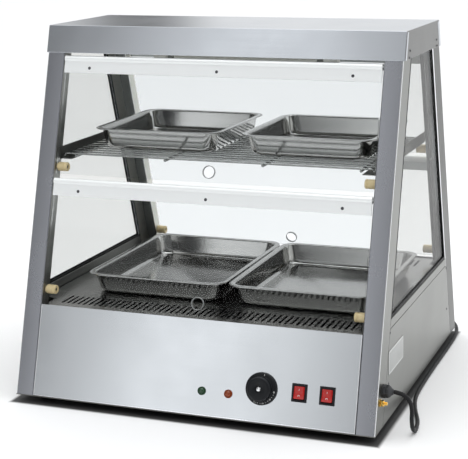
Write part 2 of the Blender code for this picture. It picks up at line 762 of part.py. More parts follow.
def pan_mesh(width, depth):
    """A pressed pan: tapered sides, rounded corners and a flat rim with a thicker edge."""
    # each level is (inset from the rim's edge, height, corner radius), from the rim to the floor
    inside = [
        (0.0, PAN_HEIGHT, 0.0260),
        (PAN_RIM, PAN_HEIGHT, 0.0200),
        (PAN_RIM + 0.0012, PAN_HEIGHT - 0.0015, 0.0200),
        (PAN_RIM + 0.0070, 0.0060, 0.0220),
        (PAN_RIM + 0.0095, 0.0025, 0.0240),
        (PAN_RIM + 0.0130, PAN_WALL, 0.0260),
    ]
    outside = [
        (0.0, PAN_HEIGHT - PAN_EDGE, 0.0260),
        (PAN_RIM - PAN_WALL, PAN_HEIGHT - PAN_WALL, 0.0210),
        (PAN_RIM + 0.0002, PAN_HEIGHT - 0.0024, 0.0210),
        (PAN_RIM + 0.0060, 0.0056, 0.0230),
        (PAN_RIM + 0.0088, 0.0016, 0.0247),
        (PAN_RIM + 0.0128, 0.0, 0.0262),
    ]
    bm = bmesh.new()
    rings = []
    for inset, height, corner in [*reversed(inside), *outside]:
        loop = rounded_rectangle(width - 2 * inset, depth - 2 * inset, corner)
        rings.append([bm.verts.new((x, y, height)) for x, y in loop])
    for ring, following in zip(rings, rings[1:]):
        for i, vert in enumerate(ring):
            j = (i + 1) % len(ring)
            bm.faces.new((vert, ring[j], following[j], following[i]))
    bm.faces.new(rings[0])
    bm.faces.new(rings[-1])
    mesh = mesh_from(bm)
    smooth(mesh, 40)
    return mesh


def make_pans():
    tiers = (
        ("upper", UPPER_PAN, UPPER_PAN_CENTRES, SHELF_TOP + GAP),
        ("lower", LOWER_PAN, LOWER_PAN_CENTRES, DECK_TOP + GAP),
    )
    for tier, size, centres, floor in tiers:
        for side, (x, y) in centres.items():
            add_part(f"pan_{tier}_{side}", pan_mesh(*size), "pan_steel", Matrix.Translation((x, y, floor)))


# ---------------------------------------------------------------- mains lead
def make_cord():
    """Mains lead from the gland to the floor, along the side, to a coil and plug behind."""
    lay = CORD_DIAMETER / 2
    y, z = GLAND_SPOT
    drop_x, bend = 0.373, 0.026
    knots = [(GLAND_END + 3 * GAP, y, z), (drop_x - bend, y, z)]
    for degrees in (30, 60, 90):
        angle = math.radians(degrees)
        knots.append((drop_x - bend + bend * math.sin(angle), y, z - bend + bend * math.cos(angle)))
    turn_z = lay + 0.028
    for degrees in (0, 30, 60, 90):
        angle = math.radians(degrees)
        knots.append((drop_x, y + 0.028 - 0.028 * math.cos(angle), turn_z - 0.028 * math.sin(angle)))
    knots += [
        (0.367, -0.188, lay),
        (0.350, -0.135, lay),
        (0.338, -0.080, lay),
        (0.334, 0.000, lay),
        (0.333, 0.100, lay),
        (0.333, 0.190, lay),
        (0.331, 0.270, lay),
        (0.322, 0.325, lay),
        (0.302, 0.368, lay),
        (0.281, 0.390, lay),
        (0.2655, COIL_CENTRE[1] + COIL_RADIUS, lay),
    ]
    route = smooth_route(knots, 1.7 * CORD_DIAMETER)
    for point in route:
        point.z = max(point.z, lay)
    tube = tube_mesh(route, CORD_DIAMETER)
    smooth(tube, 60)
    add_part("power_cord", tube, "rubber")

    half_wide = COIL_TURNS_WIDE * CORD_DIAMETER / 2 + 0.0004
    high = COIL_TURNS_HIGH * CORD_DIAMETER + 0.0006
    inner, outer = COIL_RADIUS - half_wide, COIL_RADIUS + half_wide
    section = [(inner, high / 2), (inner, high - 0.002), (inner + 0.002, high), (outer - 0.002, high)]
    section += [(outer, high - 0.002), (outer, 0.002), (outer - 0.002, 0), (inner + 0.002, 0)]
    section += [(inner, 0.002), (inner, high / 2)]
    turned("cord_coil", section, "rubber", Matrix.Translation((*COIL_CENTRE, 0)), steps=32)
    make_plug(outer)


def make_plug(coil_outer):
    """A round two-pin plug that lies on the floor where the lead leaves the coil."""
    radius = 0.0180
    angle = COIL_EXIT_ANGLE
    heading = Vector((-math.sin(angle), math.cos(angle), 0))
    leave = Vector((*COIL_CENTRE, 0)) + COIL_RADIUS * Vector((math.cos(angle), math.sin(angle), 0))
    clear = math.sqrt(coil_outer**2 - COIL_RADIUS**2) + 0.0085
    tip = leave + heading * clear
    tip.z = CORD_DIAMETER / 2 + 0.0015
    seat = tip + heading * 0.034
    seat.z = radius + 0.0002
    lift = (seat - tip).normalized()
    frame = along(seat, heading)
    profile = [
        (0, 0.0400),
        (0.0165, 0.0400),
        (radius, 0.0385),
        (radius, 0.0200),
        (0.0150, 0.0080),
        (0.0100, 0.0),
        (0, 0.0),
    ]
    plug = turned("power_plug", profile, "rubber", frame, steps=28)
    boot_length = (seat - tip).length + 0.006
    boot = cylinder_mesh(0.0042, boot_length, 16, 0.0078)
    boolean(plug, add_cutter("plug_boot", boot, along(tip + lift * boot_length / 2, lift)), "UNION")
    for sign in (-1, 1):
        pin = cylinder_mesh(0.0024, 0.024, 12)
        spot = frame @ Matrix.Translation((0.0095 * sign, 0, 0.0400 + 0.0070))
        boolean(plug, add_cutter(f"plug_pin_{sign}", pin, spot), "UNION")


clear_scene()
PARTS = collection("hot_food_display_case")
CUTTERS = collection("cutters")
make_base()
make_posts()
make_end_panels()
make_sides()
make_header()
make_ceiling()
make_deck()
make_heater()
make_thermostat()
make_indicators()
make_switches()
make_terminals()
make_flaps()
make_bumpers()
make_brackets()
make_shelf()
make_pans()
make_cord()
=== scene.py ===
"""Looks of the hot food display case: sheet steel, glass, nylon, plastics, pans, cord and studio.

Metres, +Z up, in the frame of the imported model. The controls face -Y.
"""

import json
import math

import bmesh
import bpy
from mathutils import Matrix, Vector

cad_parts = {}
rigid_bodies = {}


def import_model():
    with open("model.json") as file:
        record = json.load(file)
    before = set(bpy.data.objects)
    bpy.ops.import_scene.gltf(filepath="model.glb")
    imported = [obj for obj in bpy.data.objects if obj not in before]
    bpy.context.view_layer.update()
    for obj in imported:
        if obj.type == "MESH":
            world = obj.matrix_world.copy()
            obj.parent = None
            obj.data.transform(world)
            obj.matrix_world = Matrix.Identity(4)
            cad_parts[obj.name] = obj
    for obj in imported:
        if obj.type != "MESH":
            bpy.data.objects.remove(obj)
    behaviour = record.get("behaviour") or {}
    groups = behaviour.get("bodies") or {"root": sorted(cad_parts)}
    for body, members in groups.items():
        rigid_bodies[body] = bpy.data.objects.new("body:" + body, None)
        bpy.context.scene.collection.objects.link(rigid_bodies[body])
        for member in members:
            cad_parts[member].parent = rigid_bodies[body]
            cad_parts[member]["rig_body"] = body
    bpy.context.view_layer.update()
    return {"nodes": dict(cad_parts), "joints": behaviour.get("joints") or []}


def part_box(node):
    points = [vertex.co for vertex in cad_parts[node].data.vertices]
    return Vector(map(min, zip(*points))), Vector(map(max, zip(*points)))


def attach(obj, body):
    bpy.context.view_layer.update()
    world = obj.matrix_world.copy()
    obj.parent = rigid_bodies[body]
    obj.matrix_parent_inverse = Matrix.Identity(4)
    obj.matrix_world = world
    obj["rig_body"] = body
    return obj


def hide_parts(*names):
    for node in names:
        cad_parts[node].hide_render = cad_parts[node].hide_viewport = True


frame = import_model()

NODES = frame["nodes"]
JOINTS = {joint["name"]: joint for joint in frame["joints"]}
FACES = ("front", "rear")
TIERS = ("upper", "lower")
SIDES = {"left": -1, "right": 1}

# ---------------------------------------------------------------- places read from the frame
UPPER_HINGE = Vector(JOINTS["front_upper_flap_hinge"]["pos_m"])
LOWER_HINGE = Vector(JOINTS["front_lower_flap_hinge"]["pos_m"])
UP_SLOPE = (UPPER_HINGE - LOWER_HINGE).normalized()
OUT_OF_FRONT = Vector((0, -UP_SLOPE.z, UP_SLOPE.y))
CASE_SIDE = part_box("side_panel_right")[1].x
CORD_DIAMETER = 0.007


def slope_frame(face, point):
    """Axes on the sloping front or rear: X across, Y up the slope, Z square out of the casing."""
    axes = Matrix((Vector((1, 0, 0)), UP_SLOPE, OUT_OF_FRONT)).transposed().to_4x4()
    if face == "rear":
        axes = Matrix.Rotation(math.pi, 4, "Z") @ axes
    return Matrix.Translation(point) @ axes


def side_frame(side, y, z):
    """Axes on a side wall: Z square out of it, Y up, at y, z."""
    sign = SIDES[side]
    axes = Matrix((Vector((0, sign, 0)), Vector((0, 0, 1)), Vector((sign, 0, 0)))).transposed()
    return Matrix.Translation((sign * CASE_SIDE, y, z)) @ axes.to_4x4()


def hinge_frame(face, joint):
    """Slope axes at a joint's place."""
    return slope_frame(face, Vector(JOINTS[joint]["pos_m"]))


def shift(x, y, z):
    return Matrix.Translation((x, y, z))


def aimed(place, direction):
    """Axes at a place with Z along the direction."""
    return Matrix.Translation(place) @ direction.to_track_quat("Z", "Y").to_matrix().to_4x4()


def middle(node):
    low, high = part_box(node)
    return (low + high) / 2


def points_in(node, axes):
    """A node's corners in the given axes."""
    inverse = axes.inverted()
    return [inverse @ vert.co for vert in NODES[node].data.vertices]


def local_box(node, axes):
    """A node's lowest and highest corners in the given axes."""
    points = points_in(node, axes)
    low = Vector(min(p[i] for p in points) for i in range(3))
    high = Vector(max(p[i] for p in points) for i in range(3))
    return low, high


def new_object(name, data):
    made = bpy.data.objects.new(name, data)
    bpy.context.scene.collection.objects.link(made)
    return made


# ---------------------------------------------------------------- camera
CAMERA_PLACE = Vector((0.854, -2.208, 0.835))
CAMERA_AZIMUTH = math.radians(19.71)
CAMERA_ELEVATION = math.radians(11.92)
CAMERA_ROLL = math.radians(-0.79)
CAMERA_SENSOR = 36
CAMERA_LENS = 101.8
CAMERA_SHIFT = (-0.098, -0.086)


def make_camera():
    data = bpy.data.cameras.new("camera")
    data.sensor_width = CAMERA_SENSOR
    data.lens = CAMERA_LENS
    data.shift_x, data.shift_y = CAMERA_SHIFT
    camera = new_object("camera", data)
    level = math.cos(CAMERA_ELEVATION)
    back = Vector((
        math.sin(CAMERA_AZIMUTH) * level,
        -math.cos(CAMERA_AZIMUTH) * level,
        math.sin(CAMERA_ELEVATION),
    ))
    right = Vector((0, 0, 1)).cross(back).normalized()
    up = back.cross(right)
    across = math.cos(CAMERA_ROLL) * right + math.sin(CAMERA_ROLL) * up
    upward = math.cos(CAMERA_ROLL) * up - math.sin(CAMERA_ROLL) * right
    turn = Matrix((across, upward, back)).transposed().to_4x4()
    camera.matrix_world = Matrix.Translation(CAMERA_PLACE) @ turn
    bpy.context.scene.camera = camera


# ---------------------------------------------------------------- materials
class Nodes:
    """A short way to build a node tree: n(kind, settings, inputs) makes and wires one node."""

    def __init__(self, tree):
        self.tree = tree

    def __call__(self, kind, settings=None, **inputs):
        node = self.tree.nodes.new(kind)
        for key, value in (settings or {}).items():
            setattr(node, key, value)
        for key, value in inputs.items():
            socket = node.inputs[int(key[1:])] if key[0] == "_" else node.inputs[key.replace("_", " ")]
            if isinstance(value, bpy.types.NodeSocket):
                self.tree.links.new(value, socket)
            else:
                socket.default_value = value
        return node

    def noise(self, place, scale, detail, roughness=0.5):
        made = self("ShaderNodeTexNoise", Vector=place, Scale=scale, Detail=detail, Roughness=roughness)
        return made.outputs[0]

    def ramp(self, value, start, end, low, high, kind="LINEAR"):
        """low where the value is at start, high where it is at end."""
        settings = {"interpolation_type": kind}
        made = self("ShaderNodeMapRange", settings, Value=value, _1=start, _2=end, _3=low, _4=high)
        return made.outputs[0]

    def math(self, operation, *values):
        inputs = {f"_{i}": value for i, value in enumerate(values)}
        return self("ShaderNodeMath", {"operation": operation}, **inputs).outputs[0]


def new_material():
    """A material with an empty node tree, the way to fill it, and the object's own coordinates."""
    made = bpy.data.materials.new("finish")
    made.use_nodes = True
    made.node_tree.nodes.clear()
    n = Nodes(made.node_tree)
    return made, n, n("ShaderNodeTexCoord").outputs["Object"]


def finish_material(n, shader_socket):
    output = n("ShaderNodeOutputMaterial")
    n.tree.links.new(shader_socket, output.inputs["Surface"])


NOISE_SPAN = (0.3, 0.7)
GRAIN_SHARE = 0.22


def varied_colour(n, factor, colour, spread):
    """The colour, a little darker and lighter as factor goes from 0 to 1."""
    darker = tuple(c * (1 - spread) for c in colour) + (1,)
    lighter = tuple(min(1, c * (1 + spread)) for c in colour) + (1,)
    mix = n("ShaderNodeMix", {"data_type": "RGBA"}, _0=factor, _6=darker, _7=lighter)
    return mix.outputs[2]


def metal(colour, roughness, grain="x", spread=0.04, scratch=0.04, bump=0.004, metallic=1.0):
    """Rolled or brushed metal: fine grain along one axis, broad smudges, uneven roughness."""
    made, n, place = new_material()
    stretch = {"x": (6, 900, 900), "y": (900, 6, 900), "z": (900, 900, 6), "": (60, 60, 60)}[grain]
    lined = n("ShaderNodeMapping", Vector=place, Scale=stretch).outputs[0]
    fine = n.noise(lined, 1.0, 3.0, 0.6)
    smudge = n.noise(place, 7.0, 4.0, 0.55)
    mixed = n.math("MULTIPLY_ADD", smudge, 1 - GRAIN_SHARE, n.math("MULTIPLY", fine, GRAIN_SHARE))
    rough = n.ramp(mixed, *NOISE_SPAN, max(0.02, roughness - scratch), roughness + scratch)
    relief = n("ShaderNodeBump", Strength=bump, Distance=0.0004, Height=fine).outputs[0]
    shader = n(
        "ShaderNodeBsdfPrincipled",
        Base_Color=varied_colour(n, mixed, colour, spread),
        Metallic=metallic,
        Roughness=rough,
        Normal=relief,
    )
    finish_material(n, shader.outputs[0])
    return made


def plastic(colour, roughness, grain_scale=900.0, bump=0.15, spread=0.10, specular=0.5):
    """Moulded plastic, nylon or rubber: a fine moulded grain and slight unevenness in colour."""
    made, n, place = new_material()
    broad = n.noise(place, 45.0, 3.0)
    grain = n.noise(place, grain_scale, 2.0)
    rough = n.ramp(broad, *NOISE_SPAN, roughness * 0.85, roughness * 1.15)
    relief = n("ShaderNodeBump", Strength=bump, Distance=0.0003, Height=grain).outputs[0]
    shader = n(
        "ShaderNodeBsdfPrincipled",
        Base_Color=varied_colour(n, broad, colour, spread),
        Roughness=rough,
        Normal=relief,
        Specular_IOR_Level=specular,
    )
    finish_material(n, shader.outputs[0])
    return made


def lens(colour, glow, glow_strength):
    """Coloured translucent plastic over a small lamp."""
    made, n, place = new_material()
    shader = n(
        "ShaderNodeBsdfPrincipled",
        Base_Color=varied_colour(n, n.noise(place, 220.0, 2.0), colour, 0.25),
        Roughness=0.18,
        Emission_Color=(*glow, 1),
        Emission_Strength=glow_strength,
    )
    finish_material(n, shader.outputs[0])
    return made


GLASS_INDEX = 1.09


def clear_glass(colour, haze=0.01):
    """Tinted clear glass with faint smears. Light for the inside passes straight through it.

    The index is low, which keeps the reflections as faint as they look on the real panes.
    """
    made, n, place = new_material()
    smear = n.noise(place, 9.0, 5.0, 0.6)
    glass = n(
        "ShaderNodeBsdfPrincipled",
        Base_Color=varied_colour(n, smear, colour, 0.01),
        Roughness=n.ramp(smear, 0.55, 0.85, 0.0, haze),
        IOR=GLASS_INDEX,
        Transmission_Weight=1.0,
    )
    through = n("ShaderNodeBsdfTransparent", Color=(*colour, 1))
    lamp_ray = n("ShaderNodeLightPath").outputs["Is Shadow Ray"]
    mix = n("ShaderNodeMixShader", _0=lamp_ray, _1=glass.outputs[0], _2=through.outputs[0])
    finish_material(n, mix.outputs[0])
    return made


MATERIALS = {
    "post_steel": metal((0.36, 0.37, 0.40), 0.26, "z"),
    "panel_steel": metal((0.61, 0.635, 0.66), 0.20, "x"),
    # darker steel for the sides, and for the sideways faces of the posts and header: painted shade
    "side_steel": metal((0.245, 0.248, 0.235), 0.33, "y"),
    "header_steel": metal((0.55, 0.575, 0.61), 0.20, "x"),
    "rail_aluminium": metal((0.93, 0.95, 0.95), 0.40, "x", spread=0.02, metallic=0.30),
    "pan_steel": metal((0.44, 0.44, 0.43), 0.13, "", spread=0.05, scratch=0.02, bump=0.001),
    # near-black copy of the steel for the rear right post's outward faces: painted shade
    "rear_post_painted_shade": metal((0.105, 0.105, 0.10), 0.33, "z"),
    # lighter copy of the steel for the rear posts' inward faces: painted light
    "post_inside_painted_light": metal((0.72, 0.72, 0.66), 0.38, "z", spread=0.12, metallic=0.45),
    # dark copy of the header's steel for its outer ends: painted shade
    "header_end_painted_shade": metal((0.17, 0.17, 0.165), 0.30, "y"),
    "dark_steel": metal((0.16, 0.16, 0.15), 0.34, "x", spread=0.20, scratch=0.08),
    "deck_steel": metal((0.27, 0.27, 0.26), 0.24, "x", spread=0.12, scratch=0.06),
    # bright steel for the knob's screw, and a painted highlight on the posts' outer bends and along the
    # panel seams
    "bright_edge": metal((0.92, 0.93, 0.95), 0.22, ""),
    "chrome_wire": metal((0.36, 0.37, 0.36), 0.12, "", spread=0.04, scratch=0.04),
    "screw_steel": metal((0.10, 0.10, 0.11), 0.30, "", spread=0.15),
    "brass": metal((0.86, 0.56, 0.14), 0.20, "", spread=0.10),
    "glass": clear_glass((0.885, 0.897, 0.900)),
    # the same glass as the flaps with a darker tint on the side panes: painted shade
    "side_glass": clear_glass((0.76, 0.76, 0.745)),
    "ground_glass": plastic((0.26, 0.27, 0.27), 0.25, 1500.0, 0.10, 0.05),
    "nylon": plastic((0.80, 0.64, 0.36), 0.42, 700.0, 0.20, 0.08),
    "black_plastic": plastic((0.010, 0.011, 0.013), 0.36, specular=0.22),
    "gland_plastic": plastic((0.040, 0.042, 0.045), 0.42, specular=0.3),
    "red_plastic": lens((0.36, 0.012, 0.010), (1.0, 0.02, 0.01), 0.05),
    "green_lens": lens((0.012, 0.046, 0.018), (0.02, 0.5, 0.1), 0.01),
    "amber_lens": lens((0.19, 0.030, 0.005), (1.0, 0.22, 0.02), 0.04),
    "rubber": plastic((0.009, 0.009, 0.010), 0.50, 600.0, 0.25, specular=0.25),
    "white_ceramic": plastic((0.78, 0.78, 0.74), 0.35, 500.0, 0.10, 0.04),
    # white print for the dial's scale and the rockers' I and O marks; on the rockers it also stands for two
    # small glints: painted highlight
    "white_ink": plastic((0.82, 0.82, 0.80), 0.55, 1200.0, 0.05, 0.04),
    "label": plastic((0.40, 0.41, 0.40), 0.40, 800.0, 0.05, 0.06),
    "label_edge": plastic((0.62, 0.63, 0.62), 0.40, 800.0, 0.05, 0.04),
}
for material_name, material in MATERIALS.items():
    material.name = material_name


# ---------------------------------------------------------------- mesh helpers
def smooth_mesh(bm, name, sharp_angle):
    mesh = bpy.data.meshes.new(name)
    bm.to_mesh(mesh)
    bm.free()
    mesh.shade_smooth()
    mesh.set_sharp_from_angle(angle=math.radians(sharp_angle))
    return mesh


def mesh_of(bm, name, sharp_angle=38):
    """A mesh with its corners welded, its faces outward and its edges sharp above an angle."""
    bmesh.ops.remove_doubles(bm, verts=bm.verts, dist=0.000002)
    bmesh.ops.recalc_face_normals(bm, faces=bm.faces)
    return smooth_mesh(bm, name, sharp_angle)


def joined(name, parts, sharp_angle=38):
    """One mesh from (mesh, matrix) pairs."""
    bm = bmesh.new()
    for mesh, place in parts:
        copy = mesh.copy()
        copy.transform(place)
        if place.determinant() < 0:
            copy.flip_normals()
        bm.from_mesh(copy)
        bpy.data.meshes.remove(copy)
    return smooth_mesh(bm, name, sharp_angle)


def piece(name, mesh, material, body, slot, replaced=()):
    """A visible piece that moves with a body, and the CAD nodes that it is drawn in place of."""
    made = new_object(name, mesh)
    mesh.materials.clear()
    mesh.materials.append(MATERIALS[material])
    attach(made, body)
    if replaced:
        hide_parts(*replaced)
    return made


def assembled(name, parts, *rest):
    """A piece joined from (mesh, matrix) pairs."""
    return piece(name, joined(name, parts), *rest)


def lathe(profile, steps=48):
    """A turned solid about Z from (radius, height) points; a zero radius closes it."""
    bm = bmesh.new()
    rings = []
    for radius, height in profile:
        if radius < 1e-7:
            rings.append([bm.verts.new((0, 0, height))])
            continue
        angles = [math.tau * i / steps for i in range(steps)]
        rings.append([bm.verts.new((radius * math.cos(a), radius * math.sin(a), height)) for a in angles])
    for low, high in zip(rings, rings[1:]):
        for i in range(steps):
            j = i + 1
            corners = [low[i % len(low)], low[j % len(low)], high[j % len(high)], high[i % len(high)]]
            unique = list(dict.fromkeys(corners))
            if len(unique) > 2:
                bm.faces.new(unique)
    return mesh_of(bm, "turned")


def bridge(bm, rings):
    """Faces between each ring of corners and the next."""
    for low, high in zip(rings, rings[1:]):
        for i in range(len(low)):
            j = (i + 1) % len(low)
            bm.faces.new((low[i], low[j], high[j], high[i]))


def tube(points, radius, sides=14):
    """A round tube along the points, with rounded ends, carried without twist."""
    points = [Vector(p) for p in points]
    bm = bmesh.new()
    rings = []
    normal = None
    for i, point in enumerate(points):
        ahead = (points[min(i + 1, len(points) - 1)] - points[max(i - 1, 0)]).normalized()
        if normal is None:
            normal = ahead.orthogonal().normalized()
        normal = (normal - ahead * normal.dot(ahead)).normalized()
        side = ahead.cross(normal)
        ends = []
        if i == 0:
            ends = [(-0.5, 0.5), (-0.3, 0.85)]
        for back, share in ends:
            rings.append(ring_of(bm, point + ahead * back * radius, normal, side, radius * share, sides))
        rings.append(ring_of(bm, point, normal, side, radius, sides))
        if i == len(points) - 1:
            for on, share in ((0.3, 0.85), (0.5, 0.5)):
                rings.append(ring_of(bm, point + ahead * on * radius, normal, side, radius * share, sides))
    bridge(bm, rings)
    bm.faces.new(rings[0])
    bm.faces.new(rings[-1])
    return mesh_of(bm, "tube", 50)


def ring_of(bm, centre, normal, side, radius, sides):
    angles = [math.tau * i / sides for i in range(sides)]
    return [bm.verts.new(centre + radius * (math.cos(a) * normal + math.sin(a) * side)) for a in angles]


def block(size, bevel=0.0005, segments=3):
    """A box of that size about its own middle, with rounded edges."""
    bm = bmesh.new()
    bmesh.ops.create_cube(bm, size=1)
    bmesh.ops.scale(bm, vec=Vector(size), verts=bm.verts)
    if bevel:
        bmesh.ops.bevel(
            bm, geom=bm.edges[:], offset=bevel, segments=segments, profile=0.5, affect="EDGES"
        )
    return mesh_of(bm, "block")


def rounded_loop(width, depth, radius, steps=10):
    points = []
    for corner, (sx, sy) in enumerate(((1, 1), (-1, 1), (-1, -1), (1, -1))):
        for step in range(steps + 1):
            angle = math.pi / 2 * (corner + step / steps)
            x = sx * (width / 2 - radius) + radius * math.cos(angle)
            y = sy * (depth / 2 - radius) + radius * math.sin(angle)
            points.append((x, y))
    return points


def loft(loops, sharp_angle):
    """A closed skin through equal-length loops of points."""
    bm = bmesh.new()
    rings = [[bm.verts.new(p) for p in loop] for loop in loops]
    bridge(bm, rings)
    bm.faces.new(rings[0])
    bm.faces.new(rings[-1])
    return mesh_of(bm, "loft", sharp_angle)


def arc(centre, radius, start, end, steps):
    """Points (a, b) on a circle from start to end, in degrees."""
    found = []
    for i in range(steps + 1):
        angle = math.radians(start + (end - start) * i / steps)
        found.append((centre[0] + radius * math.cos(angle), centre[1] + radius * math.sin(angle)))
    return found


def refine(node, material, slot, bevel=0.0, segments=3, angle=35, ends=None):
    """The CAD node's own shape with its corners welded and its sheet edges rounded.

    ends names the finishes of the faces that look sideways: away from the casing's middle, towards it, and
    in the bends that turn away from it. They are darker and lighter copies of one steel: painted shade and
    painted light for how light falls on those faces, and on the posts' bends a painted highlight.
    """
    source = NODES[node]
    bm = bmesh.new()
    bm.from_mesh(source.data)
    bmesh.ops.remove_doubles(bm, verts=bm.verts, dist=0.000005)
    bmesh.ops.dissolve_limit(
        bm, angle_limit=math.radians(0.5), verts=bm.verts, edges=bm.edges, use_dissolve_boundaries=False
    )
    mesh = mesh_of(bm, f"{node}_shown", angle)
    made = piece(f"{node}_shown", mesh, material, source["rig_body"], slot, (node,))
    if ends:
        for finish in ends:
            mesh.materials.append(MATERIALS[finish])
        for face in mesh.polygons:
            sideways = face.normal.x * math.copysign(1, face.center.x)
            if abs(sideways) > 0.8:
                face.material_index = 1 if sideways > 0 else 2
            elif sideways > 0.2:
                face.material_index = 3
    if bevel:
        edge = made.modifiers.new("rounded_edges", "BEVEL")
        edge.width = bevel
        edge.segments = segments
        edge.limit_method = "ANGLE"
        edge.angle_limit = math.radians(angle)
        edge.use_clamp_overlap = True
    flat = made.modifiers.new("flat_faces_stay_flat", "WEIGHTED_NORMAL")
    flat.mode = "FACE_AREA"
    flat.keep_sharp = True
    return made


def cut_away(mesh, cutter, place):
    """The mesh with the cutter's shape taken out of it."""
    body = new_object("body", mesh)
    tool = new_object("tool", cutter)
    tool.matrix_world = place
    body.modifiers.new("slot", "BOOLEAN").object = tool
    bpy.context.view_layer.update()
    graph = bpy.context.evaluated_depsgraph_get()
    result = bpy.data.meshes.new_from_object(body.evaluated_get(graph))
    bpy.data.objects.remove(tool, do_unlink=True)
    bpy.data.objects.remove(body, do_unlink=True)
    return result


def screw_head(radius=0.0026, height=0.0009):
    """A raised countersunk head with a cross recess, its seat at the origin and Z outward."""
    seat, lip = -0.0002, 0.0001
    dome = arc((0, -radius), radius + height, 48, 90, 6)[:-1]
    dome = [(min(r, radius), max(h, lip)) for r, h in dome]
    mesh = lathe([(0, seat), (radius, seat), (radius, lip), *dome, (0, height)], 28)
    for turn in (0, 90):
        place = shift(0, 0, height) @ Matrix.Rotation(math.radians(turn), 4, "Z")
        mesh = cut_away(mesh, block((radius * 1.3, radius * 0.30, height * 1.4), 0), place)
    return mesh


# ---------------------------------------------------------------- mains lead and plug
COIL_CENTRE = Vector((0.235, 0.360, 0))
COIL_RADIUS = 0.0385
COIL_EXIT_ANGLE = math.radians(120)
COIL_POINTS_A_TURN = 24
LAY = CORD_DIAMETER / 2
GLAND_Y, GLAND_Z = -0.252, 0.074
CORD_START_X = 0.3439
DROP_X = 0.373
DROP_BEND = 0.026
FLOOR_BEND = 0.028
FLOOR_KNOTS = [
    (0.367, -0.188),
    (0.350, -0.135),
    (0.338, -0.080),
    (0.334, 0.000),
    (0.333, 0.100),
    (0.333, 0.190),
    (0.331, 0.270),
    (0.322, 0.325),
    (0.302, 0.368),
    (0.281, 0.390),
]


def plug_tip():
    """Where the plug's boot ends, and the heading of the lead there."""
    heading = Vector((-math.sin(COIL_EXIT_ANGLE), math.cos(COIL_EXIT_ANGLE), 0))
    spoke = Vector((math.cos(COIL_EXIT_ANGLE), math.sin(COIL_EXIT_ANGLE), 0))
    coil_outer = COIL_RADIUS + CORD_DIAMETER + 0.0004
    clear = math.sqrt(coil_outer**2 - COIL_RADIUS**2) + 0.0085
    tip = COIL_CENTRE + COIL_RADIUS * spoke + heading * clear
    tip.z = LAY + 0.0015
    return tip, heading


def coil_points():
    """Two turns inward on the floor and two outward on top of them, each a diameter apart."""
    points = []
    total = 4 * 360 + 34
    outer = COIL_RADIUS + 0.0070
    for step in range(round(total / 360 * COIL_POINTS_A_TURN) + 1):
        turned = min(total, step * 360 / COIL_POINTS_A_TURN)
        inward = turned if turned < 720 else 1440 - turned
        radius = outer - CORD_DIAMETER * max(0, inward) / 360
        rise = min(1, max(0, (turned - 660) / 120))
        z = LAY + CORD_DIAMETER * rise * rise * (3 - 2 * rise)
        angle = math.radians(90 + turned)
        points.append(COIL_CENTRE + Vector((radius * math.cos(angle), radius * math.sin(angle), z)))
    return points


def smooth_curve(knots, steps=8):
    """Points on a Catmull-Rom curve through the knots."""
    knots = [Vector(k) for k in knots]
    padded = [2 * knots[0] - knots[1], *knots, 2 * knots[-1] - knots[-2]]
    points = [knots[0]]
    for a, b, c, d in zip(padded, padded[1:], padded[2:], padded[3:]):
        for step in range(1, steps + 1):
            t = step / steps
            straight = 2 * b + (c - a) * t
            bent = (2 * a - 5 * b + 4 * c - d) * t**2 + (3 * b - a - 3 * c + d) * t**3
            points.append(0.5 * (straight + bent))
    return points


def cord_route():
    knots = [(CORD_START_X, GLAND_Y, GLAND_Z), (DROP_X - DROP_BEND, GLAND_Y, GLAND_Z)]
    for degrees in (30, 60, 90):
        angle = math.radians(degrees)
        x = DROP_X - DROP_BEND + DROP_BEND * math.sin(angle)
        knots.append((x, GLAND_Y, GLAND_Z - DROP_BEND + DROP_BEND * math.cos(angle)))
    for degrees in (0, 30, 60, 90):
        angle = math.radians(degrees)
        y = GLAND_Y + FLOOR_BEND - FLOOR_BEND * math.cos(angle)
        knots.append((DROP_X, y, LAY + FLOOR_BEND - FLOOR_BEND * math.sin(angle)))
    knots += [(x, y, LAY) for x, y in FLOOR_KNOTS]
    tip, heading = plug_tip()
    knots += coil_points()
    knots += [tip - heading * 0.010 + Vector((0, 0, 0.0030)), tip, tip + heading * 0.006]
    route = smooth_curve(knots, 6)
    for point in route:
        point.z = max(point.z, LAY)
    return route


def make_cord():
    route = cord_route()
    curve = bpy.data.curves.new("mains_lead", "CURVE")
    curve.dimensions = "3D"
    curve.bevel_depth = CORD_DIAMETER / 2
    curve.bevel_resolution = 6
    curve.use_fill_caps = True
    spline = curve.splines.new("POLY")
    spline.points.add(len(route) - 1)
    for point, place in zip(spline.points, route):
        point.co = (*place, 1)
    spline.use_smooth = True
    curve.materials.append(MATERIALS["rubber"])
    lead = new_object("mains_lead", curve)
    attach(lead, "case")
    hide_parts("power_cord", "cord_coil")
    companions = [*make_plug(), make_coil_tie(), make_gland()]


PIN_SPACING = 0.019


